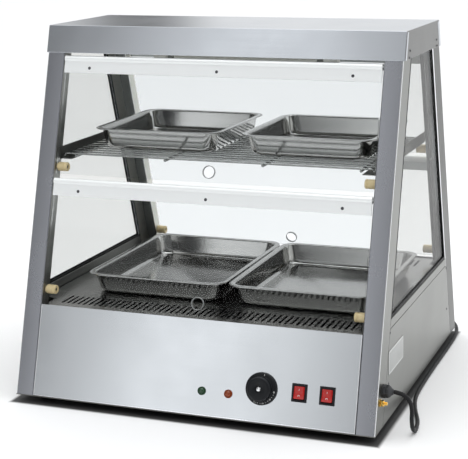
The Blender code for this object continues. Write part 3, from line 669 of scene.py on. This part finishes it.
def make_plug():
    """A moulded two-pin plug with grip rings and a ribbed boot, lying on the floor."""
    tip, heading = plug_tip()
    radius = 0.0180
    seat = tip + heading * 0.034
    seat.z = radius + 0.0002
    body_axes = aimed(seat, heading)
    profile = [(0, 0), (0.0085, 0), (0.0112, 0.0014), (0.0148, 0.0080), (0.0166, 0.0130)]
    for ring in range(4):
        z = 0.0150 + ring * 0.0040
        profile += [(0.0176, z), (0.0180, z + 0.0008), (0.0180, z + 0.0020), (0.0172, z + 0.0028)]
    profile += [(0.0176, 0.0318), (0.0180, 0.0328), (0.0180, 0.0380), (0.0172, 0.0396)]
    profile += [(0.0160, 0.0400), (0, 0.0400)]
    boot_axes = aimed(tip, (seat - tip).normalized())
    reach = (seat - tip).length + 0.004
    boot = [(0, 0), (0.0040, 0), (0.0044, 0.0006)]
    ribs = 8
    pitch = (reach - 0.006) / ribs
    for rib in range(ribs):
        z = 0.0012 + (reach - 0.006) * rib / ribs
        wide = 0.0046 + 0.0030 * rib / ribs
        narrow = wide - 0.0008
        boot += [(wide, z), (wide, z + pitch * 0.5), (narrow, z + pitch * 0.6), (narrow, z + pitch * 0.95)]
    boot += [(0.0082, reach - 0.003), (0.0084, reach), (0, reach)]
    parts = [(lathe(profile, 56), body_axes), (lathe(boot, 28), boot_axes)]
    body = assembled("plug_body", parts, "rubber", "case", "rubber", ("power_plug",))
    pin = [(0, 0.0350), (0.0024, 0.0350), (0.0024, 0.0576)]
    pin += [(0.0019, 0.0586), (0.0010, 0.0590), (0, 0.0590)]
    pins = [(lathe(pin, 24), body_axes @ shift(PIN_SPACING / 2 * sign, 0, 0)) for sign in (-1, 1)]
    return [body, assembled("plug_pins", pins, "chrome_wire", "case", "chrome_wire")]


def make_coil_tie():
    """A twisted wire tie round the turns of the coil, at its side away from the plug."""
    angle = math.radians(-35)
    spoke = Vector((math.cos(angle), math.sin(angle), 0))
    centre = COIL_CENTRE + spoke * (COIL_RADIUS + 0.0002)
    loop = []
    half_wide, half_high = 0.0122, 0.0078
    for step in range(33):
        turned = math.tau * step / 32
        wide = math.copysign(abs(math.cos(turned)) ** 0.6, math.cos(turned)) * half_wide
        high = math.copysign(abs(math.sin(turned)) ** 0.6, math.sin(turned)) * half_high
        loop.append(centre + spoke * wide + Vector((0, 0, 0.0088 + high)))
    return piece("coil_tie", tube(loop, 0.0009, 8), "rubber", "case", "rubber")


# ---------------------------------------------------------------- gland and earth bolt
def hexagon(width, low, high, chamfer=0.0006):
    """A hexagon nut blank across its flats, along Z, with chamfered corners."""
    corner = width / math.sqrt(3)
    loops = []
    for z, share in ((low, 0.93), (low + chamfer, 1), (high - chamfer, 1), (high, 0.93)):
        loops.append([
            (corner * share * math.cos(math.tau * i / 6), corner * share * math.sin(math.tau * i / 6), z)
            for i in range(6)
        ])
    return loft(loops, 20)


def make_gland():
    """Cable gland: hexagon body, slotted dome nut and a tapered strain relief."""
    axes = side_frame("right", GLAND_Y, GLAND_Z)
    reach = local_box("cable_gland", axes)[1].z
    washer = [(0, -0.0070), (0.0094, -0.0070), (0.0094, -0.0016), (0.0060, -0.0015), (0.0060, 0.0003),
              (0.0110, 0.0003), (0.0112, 0.0006), (0.0110, 0.0014), (0.0060, 0.0014), (0, 0.0014)]
    dome = [(0, 0.0060), (0.0094, 0.0060), (0.0098, 0.0065), (0.0098, 0.0096)]
    dome += arc((0.0050, 0.0096), 0.0048, 0, 62, 6)
    dome += [(0.0062, 0.0148), (0.0050, reach - 0.0012), (0.0044, reach - 0.0002)]
    dome += [(0.0038, reach), (0, reach)]
    parts = [
        (lathe(washer, 48), axes),
        (hexagon(0.0196, 0.0014, 0.0060), axes),
        (lathe(dome, 48), axes),
    ]
    rib = block((0.0016, 0.0010, 0.0040), 0.0003, 2)
    ribs = 18
    for i in range(ribs):
        turn = Matrix.Rotation(math.tau * i / ribs, 4, "Z")
        parts.append((rib, axes @ turn @ shift(0.0098, 0, 0.0082)))
    return assembled("gland_body", parts, "gland_plastic", "case", "black_plastic", ("cable_gland",))


def threaded(radius, low, high, pitch, depth):
    """Turned rings that read as a thread."""
    profile = [(0, low), (radius - depth, low)]
    z = low
    while z + pitch < high:
        profile += [(radius, z + pitch * 0.5), (radius - depth, z + pitch)]
        z += pitch
    return [*profile, (radius - depth, high), (0, high)]


def make_earth_bolt():
    axes = side_frame("right", *middle("earth_bolt").yz)
    low, high = local_box("earth_bolt", axes)
    parts = [
        (lathe(threaded(0.0030, low.z, high.z, 0.0008, 0.0004), 28), axes),
        (lathe([(0, 0.0003), (0.0064, 0.0003), (0.0064, 0.0014), (0, 0.0014)], 36), axes),
        (hexagon(0.0092, 0.0016, 0.0058), axes),
        (lathe([(0, 0.0060), (0.0050, 0.0060), (0.0052, 0.0064), (0.0050, 0.0070), (0, 0.0070)], 36), axes),
        (hexagon(0.0092, -0.0056, -0.0018), axes),
    ]
    assembled("earth_bolt_shown", parts, "brass", "case", "brass", ("earth_bolt",))


# ---------------------------------------------------------------- casing
# finishes of the posts' side faces: outward, inward, and the bends at the outer edge. They are copies of
# one steel made darker or lighter for how light falls on each face: painted shade outward and on the front
# posts' inward faces, painted light on the rear posts' inward faces, and a painted highlight on the bends
POST_ENDS = {
    "rear_left": ("side_steel", "post_inside_painted_light", "bright_edge"),
    "rear_right": ("rear_post_painted_shade", "post_inside_painted_light", "bright_edge"),
}


def make_casing():
    for face in FACES:
        for side in SIDES:
            ends = POST_ENDS.get(f"{face}_{side}", ("side_steel", "side_steel", "bright_edge"))
            finish = "post_steel" if face == "front" else "panel_steel"
            refine(f"post_{face}_{side}", finish, "post_steel", ends=ends)
        refine(f"{face}_panel", "panel_steel", "panel_steel", 0.0003, 2)
    for side in SIDES:
        refine(f"side_panel_{side}", "side_steel", "side_steel", 0.0003, 2)
        refine(f"side_rail_{side}", "side_steel", "side_steel", 0.0010, 3)
        refine(f"side_glass_{side}", "side_glass", "glass", 0.0005, 2)
        refine(f"shelf_bracket_{side}", "dark_steel", "dark_steel", 0.0003, 2)
    # header faces: outer ends a dark copy of the steel and inward faces the side steel, both painted shade;
    # bends in the header's own steel
    header_ends = ("header_end_painted_shade", "side_steel", "header_steel")
    refine("header_cover", "header_steel", "panel_steel", 0.0016, 4, ends=header_ends)
    refine("base_plate", "dark_steel", "dark_steel", 0.0003, 2)
    refine("deck_plate", "deck_steel", "dark_steel")
    refine("ceiling_plate", "side_steel", "side_steel", 0.0003, 2)


def make_seams():
    """Thin strips of bright steel along the lower panels' edges, where they meet the posts and along their
    feet: a painted highlight on the seams.
    """
    wide, proud = 0.0009, 0.0004
    for face in FACES:
        axes = slope_frame(face, Vector((0, 0, 0)))
        low, high = local_box(f"{face}_panel", axes)
        long = high.y - low.y - 0.002
        middle_y = (low.y + high.y) / 2
        upright = block((wide, long, proud), 0.0001, 1)
        across = block((high.x - low.x - 0.002, wide, proud), 0.0001, 1)
        spots = [
            (upright, axes @ shift(low.x + wide, middle_y, high.z)),
            (upright, axes @ shift(high.x - wide, middle_y, high.z)),
            (across, axes @ shift(0, low.y + wide, high.z)),
        ]
        assembled(f"{face}_panel_edges", spots, "bright_edge", "case", "panel_steel")


def outline_strip(corners, width, x0, x1, bevel):
    """A frame of that width just inside a four-cornered outline in the side plane."""
    middle_point = sum((Vector(c) for c in corners), Vector((0, 0))) / len(corners)
    lines = []
    for i, corner in enumerate(corners):
        start, end = Vector(corner), Vector(corners[(i + 1) % len(corners)])
        run = (end - start).normalized()
        inward = Vector((-run.y, run.x))
        if inward.dot(middle_point - start) < 0:
            inward = -inward
        lines.append((start + inward * width, run))
    inner = []
    for i in range(len(lines)):
        (p, r), (q, s) = lines[i - 1], lines[i]
        t = ((q - p).x * s.y - (q - p).y * s.x) / (r.x * s.y - r.y * s.x)
        inner.append(p + r * t)
    bm = bmesh.new()
    rings = []
    for loop, x in ((corners, x0), (corners, x1 - bevel), (inner, x1), (inner, x0)):
        rings.append([bm.verts.new((x, p[0], p[1])) for p in loop])
    bridge(bm, [*rings, rings[0]])
    return mesh_of(bm, "strip", 20)


def glass_corners(node):
    """The pane's corners as (y, z), in order round it."""
    points = {(round(v.co.y, 5), round(v.co.z, 5)) for v in NODES[node].data.vertices}
    centre = sum((Vector(p) for p in points), Vector((0, 0))) / len(points)
    return sorted(points, key=lambda p: math.atan2(p[1] - centre.y, p[0] - centre.x))


def make_gaskets():
    for side, sign in SIDES.items():
        corners = glass_corners(f"side_glass_{side}")
        low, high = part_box(f"side_glass_{side}")
        outer_face = max(abs(low.x), abs(high.x))
        inner_face = min(abs(low.x), abs(high.x))
        outer = outline_strip(corners, 0.0050, outer_face + 0.0002, outer_face + 0.0024, 0.0008)
        inner = outline_strip(corners, 0.0040, inner_face - 0.0002, inner_face - 0.0014, -0.0004)
        flip = Matrix.Scale(sign, 4, (1, 0, 0))
        assembled(f"glass_gasket_{side}", [(outer, flip), (inner, flip)], "rubber", "case", "rubber")


SIDE_SCREWS = ((-0.208, 0.158), (-0.217, 0.074))
HEADER_SCREWS = ((-0.0955, 0.6065), (-0.0995, 0.5955))


def make_screws():
    """Screws in the lower side panels and in the header's ends, mirrored front to rear."""
    head = screw_head()
    small = screw_head(0.0021, 0.0008)
    places = []
    for y, z in SIDE_SCREWS:
        for side in SIDES:
            for mirror in (1, -1):
                places.append((head, side_frame(side, y * mirror, z)))
    assembled("side_screws", places, "screw_steel", "case", "dark_steel")
    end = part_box("header_cover")[1].x
    places = []
    for side, sign in SIDES.items():
        for y, z in HEADER_SCREWS:
            for mirror in (1, -1):
                axes = side_frame(side, y * mirror, z)
                axes.translation.x = sign * (end + 0.0006)
                places.append((small, axes))
    assembled("header_screws", places, "screw_steel", "case", "dark_steel")


def make_header_trim():
    """The folded-over strips at the header's ends, where the front sheet wraps round."""
    low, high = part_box("header_cover")
    strip, thick, inset = 0.0095, 0.0006, 0.0002
    corners = []
    for z in (low.z + 0.0004, high.z - 0.0020):
        share = (z - low.z) / (high.z - low.z)
        corners.append((high.y + (HEADER_TOP_Y - high.y) * share - 0.0022, z))
    (y0, z0), (y1, z1) = corners
    meshes = []
    for sign in (-1, 1):
        for face_sign in (-1, 1):
            loops = []
            for x, pull in ((high.x, 0), (high.x + thick, inset)):
                outline = (
                    (y0 - pull, z0 + pull),
                    (y0 - strip + pull, z0 + pull),
                    (y1 - strip + pull, z1 - pull),
                    (y1 - pull, z1 - pull),
                )
                loops.append([(x * sign, y * face_sign, z) for y, z in outline])
            meshes.append((loft(loops, 20), Matrix.Identity(4)))
    assembled("header_end_strips", meshes, "header_steel", "case", "panel_steel")


def header_top_y():
    """Half the depth of the header at its top."""
    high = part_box("header_cover")[1]
    return max(v.co.y for v in NODES["header_cover"].data.vertices if v.co.z > high.z - 0.0005)


HEADER_TOP_Y = header_top_y()


PLATE_Y, PLATE_Z = -0.171, 0.1085
PLATE_LONG, PLATE_HIGH, PLATE_THICK = 0.094, 0.039, 0.0008
PLATE_EDGE = 0.0022


def make_rating_plate():
    """A blank rating plate on the right side."""
    axes = side_frame("right", PLATE_Y, PLATE_Z)
    plate = block((PLATE_LONG, PLATE_HIGH, PLATE_THICK), 0.0003, 2)
    rim = []
    for size, along, up in (
        ((PLATE_LONG, PLATE_EDGE, 0.0004), 0, PLATE_HIGH / 2 - PLATE_EDGE / 2),
        ((PLATE_EDGE, PLATE_HIGH, 0.0004), PLATE_LONG / 2 - PLATE_EDGE / 2, 0),
    ):
        for sign in (1, -1):
            rim.append((block(size, 0.0001, 1), axes @ shift(along * sign, up * sign, 0.0006)))
    assembled("rating_plate", [(plate, axes @ shift(0, 0, 0.0003))], "label", "case", "side_steel")
    assembled("rating_plate_rim", rim, "label_edge", "case", "side_steel")


# ---------------------------------------------------------------- flaps
SCREW_XS = (-0.241, 0.0, 0.241)
SCREW_DROP = 0.0162


def make_flaps():
    head = screw_head(0.0027, 0.0007)
    for face in FACES:
        for tier in TIERS:
            body = f"{face}_{tier}_flap"
            axes = hinge_frame(face, f"{body}_hinge")
            refine(f"flap_rail_{face}_{tier}", "rail_aluminium", "rail_aluminium")
            refine(f"flap_glass_{face}_{tier}", "glass", "glass")
            flange = flange_face(f"flap_rail_{face}_{tier}", axes)
            spots = [(head, axes @ shift(x, -SCREW_DROP, flange)) for x in SCREW_XS]
            assembled(f"rail_screws_{face}_{tier}", spots, "screw_steel", body, "rail_aluminium")
            make_finger_rim(face, tier, body, axes)


def flange_face(node, axes):
    """How far the rail's flange stands out of the hinge axis."""
    return max(p.z for p in points_in(node, axes) if p.y < -0.010)


def make_finger_rim(face, tier, body, axes):
    """The ground and polished edge of the finger hole."""
    node = f"flap_glass_{face}_{tier}"
    low, high = local_box(node, axes)
    near = [p for p in points_in(node, axes) if abs(p.x) < 0.05]
    centre = Vector((0, (max(p.y for p in near) + min(p.y for p in near)) / 2, 0))
    radius = (max(p.x for p in near) - min(p.x for p in near)) / 2
    outer, inner = high.z, low.z
    ring = [
        (radius + 0.0007, outer + 0.0001),
        (radius + 0.0001, outer + 0.0002),
        (radius - 0.0004, outer - 0.0002),
        (radius - 0.0005, (outer + inner) / 2),
        (radius - 0.0004, inner + 0.0002),
        (radius + 0.0001, inner - 0.0002),
        (radius + 0.0006, inner - 0.0001),
        (radius + 0.0004, (outer + inner) / 2),
        (radius + 0.0006, outer + 0.0001),
    ]
    parts = [(lathe(ring, 48), axes @ Matrix.Translation(centre))]
    assembled(f"finger_hole_edge_{face}_{tier}", parts, "ground_glass", body, "glass")


def make_bumpers():
    """Nylon rollers with a turned groove and a recessed screw."""
    groove, recess = 0.0007, 0.0018
    head = screw_head(0.0030, 0.0010)
    heads = []
    for face in FACES:
        for tier in TIERS:
            for side in SIDES:
                node = f"bumper_{face}_{tier}_{side}"
                low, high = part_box(node)
                centre = (low + high) / 2
                radius, length = (high.z - low.z) / 2, high.x - low.x
                into_case = Vector((-math.copysign(1, centre.x), 0, 0))
                profile = [
                    (0, 0),
                    (radius - 0.0006, 0),
                    (radius, 0.0006),
                    (radius, length * 0.62),
                    (radius - groove, length * 0.66),
                    (radius - groove, length * 0.72),
                    (radius, length * 0.76),
                    (radius, length - 0.0012),
                    (radius - 0.0012, length),
                    (0.0042, length),
                    (0.0034, length - recess),
                    (0, length - recess),
                ]
                parts = [(lathe(profile, 40), aimed(centre - into_case * length / 2, into_case))]
                assembled(f"{node}_shown", parts, "nylon", "case", "nylon", (node,))
                heads.append((head, aimed(centre + into_case * (length / 2 - recess), into_case)))
    assembled("bumper_screws", heads, "screw_steel", "case", "dark_steel")


# ---------------------------------------------------------------- controls
def make_lamps():
    for colour in ("green", "amber"):
        node = f"indicator_lamp_{colour}"
        axes = slope_frame("front", Vector((middle(node).x, 0, 0)))
        low, high = local_box(node, axes)
        centre = axes @ Vector((0, (low.y + high.y) / 2, 0))
        axes = slope_frame("front", centre)
        low, high = local_box(node, axes)
        base = high.z - 0.0042
        dome = [(0, low.z), (0.0048, low.z), (0.0048, base + 0.0003), (0.0056, base + 0.0004)]
        dome += [*arc((0, base - 0.0010), 0.0058, 22, 84, 8), (0, base + 0.0048)]
        dome = [(r, min(z, high.z)) for r, z in dome]
        finish = f"{colour}_lens"
        assembled(f"{node}_shown", [(lathe(dome, 40), axes)], finish, "case", finish, (node,))
        ring = [(0.0056, base), (0.0072, base + 0.0002), (0.0071, base + 0.0016), (0.0064, base + 0.0020),
                (0.0057, base + 0.0017), (0.0056, base)]
        assembled(f"lamp_ring_{colour}", [(lathe(ring, 40), axes)], finish, "case", finish)


def text_mesh(words, size):
    curve = bpy.data.curves.new("words", "FONT")
    curve.body = words
    curve.size = size
    curve.align_x = "CENTER"
    curve.align_y = "CENTER"
    curve.extrude = 0.00004
    item = new_object("words", curve)
    graph = bpy.context.evaluated_depsgraph_get()
    mesh = bpy.data.meshes.new_from_object(item.evaluated_get(graph))
    bpy.data.objects.remove(item, do_unlink=True)
    return mesh


DIAL_NUMBERS = ("30", "60", "90", "110")
DIAL_START, DIAL_END, DIAL_ZERO = -8, -110, 78
DIAL_RADIUS, DIAL_Z = 0.0236, 0.0049


def make_knob():
    """Thermostat knob: a skirt with a printed scale, a raised hub and a slotted centre screw."""
    axes = hinge_frame("front", "thermostat_turn")
    low, high = local_box("thermostat_knob", axes)
    top = high.z
    well = top - 0.0034
    profile = [(0, low.z), (0.0030, low.z), (0.0030, 0.0008), (0.0268, 0.0008)]
    profile += [(0.0270, 0.0012), (0.0270, 0.0030), (0.0267, 0.0040), (0.0260, 0.0046)]
    profile += [(0.0208, 0.0050), (0.0204, 0.0054), (0.0200, top - 0.0040)]
    profile += arc((0.0170, well), 0.0030, 5, 80, 6)
    profile += [(0.0140, top - 0.0002), (0.0100, top - 0.0008), (0.0062, top - 0.0014)]
    profile += [(0.0058, well), (0, well)]
    parts = [(lathe(profile, 72), axes)]
    plastics = ("black_plastic", "knob", "black_plastic")
    assembled("thermostat_knob_shown", parts, *plastics, ("thermostat_knob",))
    head = [(0, 0), (0.0040, 0), (0.0040, 0.0010), (0.0034, 0.0018), (0.0018, 0.0022), (0, 0.0023)]
    slot_place = shift(0, 0, 0.0024) @ Matrix.Rotation(math.radians(35), 4, "Z")
    screw = cut_away(lathe(head, 32), block((0.0100, 0.0009, 0.0022), 0), slot_place)
    assembled("knob_screw", [(screw, axes @ shift(0, 0, well))], "bright_edge", "knob", "chrome_wire")
    assembled("dial_marks", dial_marks(axes), "white_ink", "knob", "black_plastic")


def dial_marks(axes):
    """Numbers, the ticks between them and the zero mark, as (mesh, matrix) pairs."""

    def at(degrees):
        turn = Matrix.Rotation(math.radians(degrees) - math.pi / 2, 4, "Z")
        return axes @ turn @ shift(0, DIAL_RADIUS, DIAL_Z)

    gaps = len(DIAL_NUMBERS) - 1
    span = DIAL_END - DIAL_START
    marks = []
    for i, words in enumerate(DIAL_NUMBERS):
        marks.append((text_mesh(words, 0.0036), at(DIAL_START + span * i / gaps)))
    for i in range(3 * gaps + 1):
        if i % 3:
            tick = block((0.0005, 0.0018, 0.00012), 0)
            marks.append((tick, at(DIAL_START + span * i / (3 * gaps))))
    marks.append((block((0.0009, 0.0026, 0.00012), 0), at(DIAL_ZERO)))
    return marks


ROCKER_TILT = math.radians(8)


def make_switches():
    """Rocker switches: rounded bezels, dished red rockers and a white bar and ring on each: I and O marks
    that also stand for the two small glints on each rocker, a painted highlight.
    """
    for label in ("heat", "light"):
        body = f"{label}_rocker"
        axes = hinge_frame("front", f"{label}_switch_tip")
        refine(f"switch_body_{label}", "black_plastic", "black_plastic", 0.0006, 3)
        tipped = axes @ Matrix.Rotation(-ROCKER_TILT, 4, "X")
        node = f"switch_rocker_{label}"
        low, high = local_box(node, tipped)
        half = (high.x - low.x) / 2
        reach = high.y
        loops = []
        slices = 14
        for i in range(slices + 1):
            share = 2 * i / slices - 1
            round_off = 0.0006 * max(0, (abs(share) - 0.86) / 0.14) ** 2
            x = share * half
            outline = []
            for j in range(13):
                t = 2 * j / 12 - 1
                dish = 0.0026 + 0.0014 * abs(t) ** 1.6
                outline.append((t * (reach - round_off), dish - round_off))
            outline += [(reach - 0.0001, -0.0010), (0.0042, -0.0078)]
            outline += [(-0.0042, -0.0078), (-reach + 0.0001, -0.0010)]
            loops.append([(x, y, z) for y, z in outline])
        parts = [(loft(loops, 30), tipped)]
        assembled(f"{node}_shown", parts, "red_plastic", body, "red_plastic", (node,))
        # a white bar and ring: I and O marks, also standing for the rocker's two glints, a painted
        # highlight
        ring = lathe([(0.0011, 0), (0.0017, 0), (0.0017, 0.00012), (0.0011, 0.00012), (0.0011, 0)], 28)
        bar = block((0.0006, 0.0034, 0.00012), 0)
        marks = [
            (bar, tipped @ shift(0, 0.0052, 0.0032)),
            (ring, tipped @ shift(0, -0.0052, 0.0031)),
        ]
        assembled(f"rocker_marks_and_glints_{label}", marks, "white_ink", body, "red_plastic")


# ---------------------------------------------------------------- shelf, pans, inner parts
SHELF_WIRES = 17
SHELF_BARS = (-0.262, -0.090, 0.090, 0.262)


def make_shelf():
    """Cross wires with turned-down ends, welded over bars that run in depth."""
    low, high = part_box("wire_shelf")
    wire, bar = 0.0035, 0.0050
    wire_z = high.z - wire / 2
    reach = high.x - wire / 2
    half_depth = high.y
    parts = []
    for i in range(SHELF_WIRES):
        y = (2 * i / (SHELF_WIRES - 1) - 1) * (half_depth - bar / 2)
        points = []
        for sign in (-1, 1):
            bend = arc((reach - 0.004, wire_z - 0.004), 0.004, 0, 90, 6)
            end = [(sign * x, y, z) for x, z in [(reach, low.z + 0.0012), *bend]]
            points += end if sign < 0 else list(reversed(end))
        parts.append((tube(points, wire / 2, 12), Matrix.Identity(4)))
    bar_z = high.z - wire - bar / 2 + 0.0007
    for x in SHELF_BARS:
        ends = [(x, y, bar_z) for y in (-half_depth + 0.0012, 0, half_depth - 0.0012)]
        parts.append((tube(ends, bar / 2, 14), Matrix.Identity(4)))
    mesh = joined("wire_shelf_shown", parts, 50)
    piece("wire_shelf_shown", mesh, "chrome_wire", "shelf", "chrome_wire", ("wire_shelf",))


def pan_levels(height):
    """(inset, height) down the inside of a pan, from the rolled rim's edge to its floor."""
    rim, thick = 0.009, 0.0008
    roll = 0.0011
    inside = arc((roll, height - roll), roll, 180, 90, 4)
    inside += [(0.0045, height), (rim - 0.0020, height - 0.0001)]
    inside += arc((rim - 0.0020, height - 0.0031), 0.0030, 80, 12, 5)
    inside += [(rim + 0.0030, height * 0.62), (rim + 0.0056, 0.0100)]
    inside += [(rim + 0.0066, 0.0064), (rim + 0.0084, 0.0034), (rim + 0.0112, 0.0018)]
    inside += [(rim + 0.0150, thick + 0.0002)]
    outside = [(0.0, height - 0.0020), (0.0012, height - 0.0022), (0.0022, height - 0.0012)]
    outside += [(rim - 0.0026, height - 0.0010), (rim - 0.0002, height - 0.0026)]
    outside += [(rim + 0.0004, height - 0.0060), (rim + 0.0022, height * 0.62), (rim + 0.0047, 0.0098)]
    outside += [(rim + 0.0058, 0.0058), (rim + 0.0078, 0.0026), (rim + 0.0108, 0.0008), (rim + 0.0150, 0.0)]
    return inside, outside


def make_pans():
    for tier in TIERS:
        for side in SIDES:
            node = f"pan_{tier}_{side}"
            low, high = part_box(node)
            width, depth, height = high - low
            centre = shift((low.x + high.x) / 2, (low.y + high.y) / 2, low.z)
            inside, outside = pan_levels(height)
            loops = []
            for inset, z in [*reversed(inside), *outside]:
                corner = 0.0260 - 0.5 * min(inset, 0.010) + max(0, inset - 0.012) * 0.5
                loop = rounded_loop(width - 2 * inset, depth - 2 * inset, corner, 9)
                loops.append([(x, y, z) for x, y in loop])
            mesh = joined(f"{node}_shown", [(loft(loops, 45), centre)], 45)
            piece(f"{node}_shown", mesh, "pan_steel", f"{tier}_{side}_pan", "pan_steel", (node,))


def make_lamp_tube():
    """The tube lamp: a glass tube with metal end caps and contact pins."""
    low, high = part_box("lamp_tube")
    centre = (low + high) / 2
    radius, length = (high.z - low.z) / 2, high.x - low.x
    along = aimed(centre, Vector((1, 0, 0)))
    half = length / 2
    cap_length = 0.012
    end, narrow = half - cap_length, radius * 0.96
    glass = [(0, -end), (narrow, -end), (narrow, end), (0, end)]
    cap = [(0, 0), (radius * 0.6, 0), (radius, 0.0012), (radius, cap_length)]
    cap += [(radius * 0.93, cap_length + 0.0012), (0, cap_length + 0.0012)]
    caps = []
    for sign in (-1, 1):
        turn = Matrix.Identity(4) if sign < 0 else Matrix.Rotation(math.pi, 4, "X")
        caps.append((lathe(cap, 32), along @ shift(0, 0, sign * half) @ turn))
    parts = [(lathe(glass, 32), along)]
    assembled("lamp_tube_shown", parts, "white_ceramic", "case", "white_ceramic", ("lamp_tube",))
    assembled("lamp_tube_caps", caps, "chrome_wire", "case", "chrome_wire")


def make_inner_parts():
    refine("lamp_holder", "white_ceramic", "white_ceramic", 0.0010, 3)
    refine("heating_element", "dark_steel", "dark_steel")
    refine("thermostat_body", "white_ceramic", "white_ceramic", 0.0006, 2)
    refine("terminal_block", "white_ceramic", "white_ceramic", 0.0010, 3)
    for face in FACES:
        for side in SIDES:
            refine(f"foot_{face}_{side}", "rubber", "rubber")


# ---------------------------------------------------------------- studio
FRONT_LEVEL = 0.24
REAR_LEVEL = 0.95
TOP_LEVEL = 1.50
PATCH_LEVEL = 1.55
RIGHT_LEVEL = 0.85


def make_world():
    """Soft surroundings: bright above and behind, dim in front with one soft bright patch.

    A card lights the right, and a narrow strip behind on the left is dark. Straight from the camera
    the surroundings are plain white.
    """
    world = bpy.data.worlds.new("studio")
    bpy.context.scene.world = world
    world.use_nodes = True
    world.node_tree.nodes.clear()
    n = Nodes(world.node_tree)
    direction = n("ShaderNodeTexCoord").outputs["Generated"]
    across, along, up = n("ShaderNodeSeparateXYZ", Vector=direction).outputs

    def soft(value, start, end, low, high):
        return n.ramp(value, start, end, low, high, "SMOOTHSTEP")

    def times(*values):
        return n.math("MULTIPLY", *values)

    def plus(*values):
        return n.math("ADD", *values)

    slant = n.math("DIVIDE", across, along)
    sides = soft(along, -0.30, 0.45, FRONT_LEVEL, REAR_LEVEL)
    dark_left = plus(soft(slant, -0.47, -0.40, -0.72, 0.0), soft(slant, -0.56, -0.49, 0.45, 0.0))
    low_behind = times(soft(along, 0.2, 0.4, 0.0, 1.0), soft(up, 0.30, 0.45, 1.0, 0.0))
    sides = plus(sides, times(dark_left, low_behind))
    patch = times(soft(slant, 0.42, 0.58, 1.0, 0.0), soft(slant, 0.20, 0.45, 0.0, 1.0))
    low_front = times(soft(along, -0.5, -0.3, 1.0, 0.0), soft(up, 0.45, 0.65, 1.0, 0.0))
    sides = plus(sides, times(times(patch, low_front), PATCH_LEVEL))
    right_card = times(soft(across, 0.72, 0.86, 0.0, 1.0), soft(up, 0.40, 0.60, 1.0, 0.0))
    sides = plus(sides, times(right_card, RIGHT_LEVEL))
    overhead = soft(up, 0.55, 0.80, 0.0, 1.0)
    level = n("ShaderNodeMix", {"data_type": "FLOAT"}, _0=overhead, _2=sides, _3=TOP_LEVEL).outputs[0]
    lit = n("ShaderNodeBackground", Color=(0.98, 0.99, 1.0, 1), Strength=level)
    backdrop = n("ShaderNodeBackground", Color=(1, 1, 1, 1), Strength=1.0)
    seen = n("ShaderNodeLightPath").outputs["Is Camera Ray"]
    mix = n("ShaderNodeMixShader", _0=seen, _1=lit.outputs[0], _2=backdrop.outputs[0])
    output = n("ShaderNodeOutputWorld")
    n.tree.links.new(mix.outputs[0], output.inputs["Surface"])


def make_lights():
    """A broad soft light above, which puts the shadow close under the casing."""
    place, target = Vector((0.2, 0.1, 3.0)), Vector((0, 0, 0.2))
    data = bpy.data.lights.new("top", "AREA")
    data.shape = "RECTANGLE"
    data.size, data.size_y = 2.0, 2.0
    data.energy = 20
    lamp = new_object("top", data)
    lamp.matrix_world = aimed(place, place - target)
    lamp.visible_camera = False


# half the casing's width and depth, and how far past them the shadow starts to fade and is gone
FOOTPRINT = (0.325, 0.300)
SHADOW_BAND = (0.004, 0.013)
SHADOW_COLOUR = (0.05, 0.05, 0.05, 1)


def make_floor():
    """A white floor with a narrow dark band of contact shadow round the casing's foot."""
    bm = bmesh.new()
    bmesh.ops.create_grid(bm, x_segments=4, y_segments=4, size=25)
    mesh = mesh_of(bm, "floor")
    made, n, place = new_material()
    made.name = "floor"
    white = varied_colour(n, n.noise(place, 1.5, 2.0), (0.93, 0.93, 0.93), 0.01)
    sideways = n("ShaderNodeSeparateXYZ", Vector=place).outputs
    past = [n.math("SUBTRACT", n.math("ABSOLUTE", sideways[i]), FOOTPRINT[i]) for i in range(2)]
    clear = n.ramp(n.math("MAXIMUM", *past), *SHADOW_BAND, 0.0, 1.0, "SMOOTHSTEP")
    colour = n("ShaderNodeMix", {"data_type": "RGBA"}, _0=clear, _6=SHADOW_COLOUR, _7=white).outputs[2]
    shader = n("ShaderNodeBsdfPrincipled", Base_Color=colour, Roughness=0.7)
    finish_material(n, shader.outputs[0])
    mesh.materials.append(made)
    new_object("floor", mesh)


make_camera()
make_cord()
make_casing()
make_seams()
make_gaskets()
make_screws()
make_header_trim()
make_rating_plate()
make_earth_bolt()
make_flaps()
make_bumpers()
make_lamps()
make_knob()
make_switches()
make_shelf()
make_pans()
make_lamp_tube()
make_inner_parts()
make_world()
make_lights()
make_floor()
bpy.context.scene.view_settings.view_transform = "Standard"
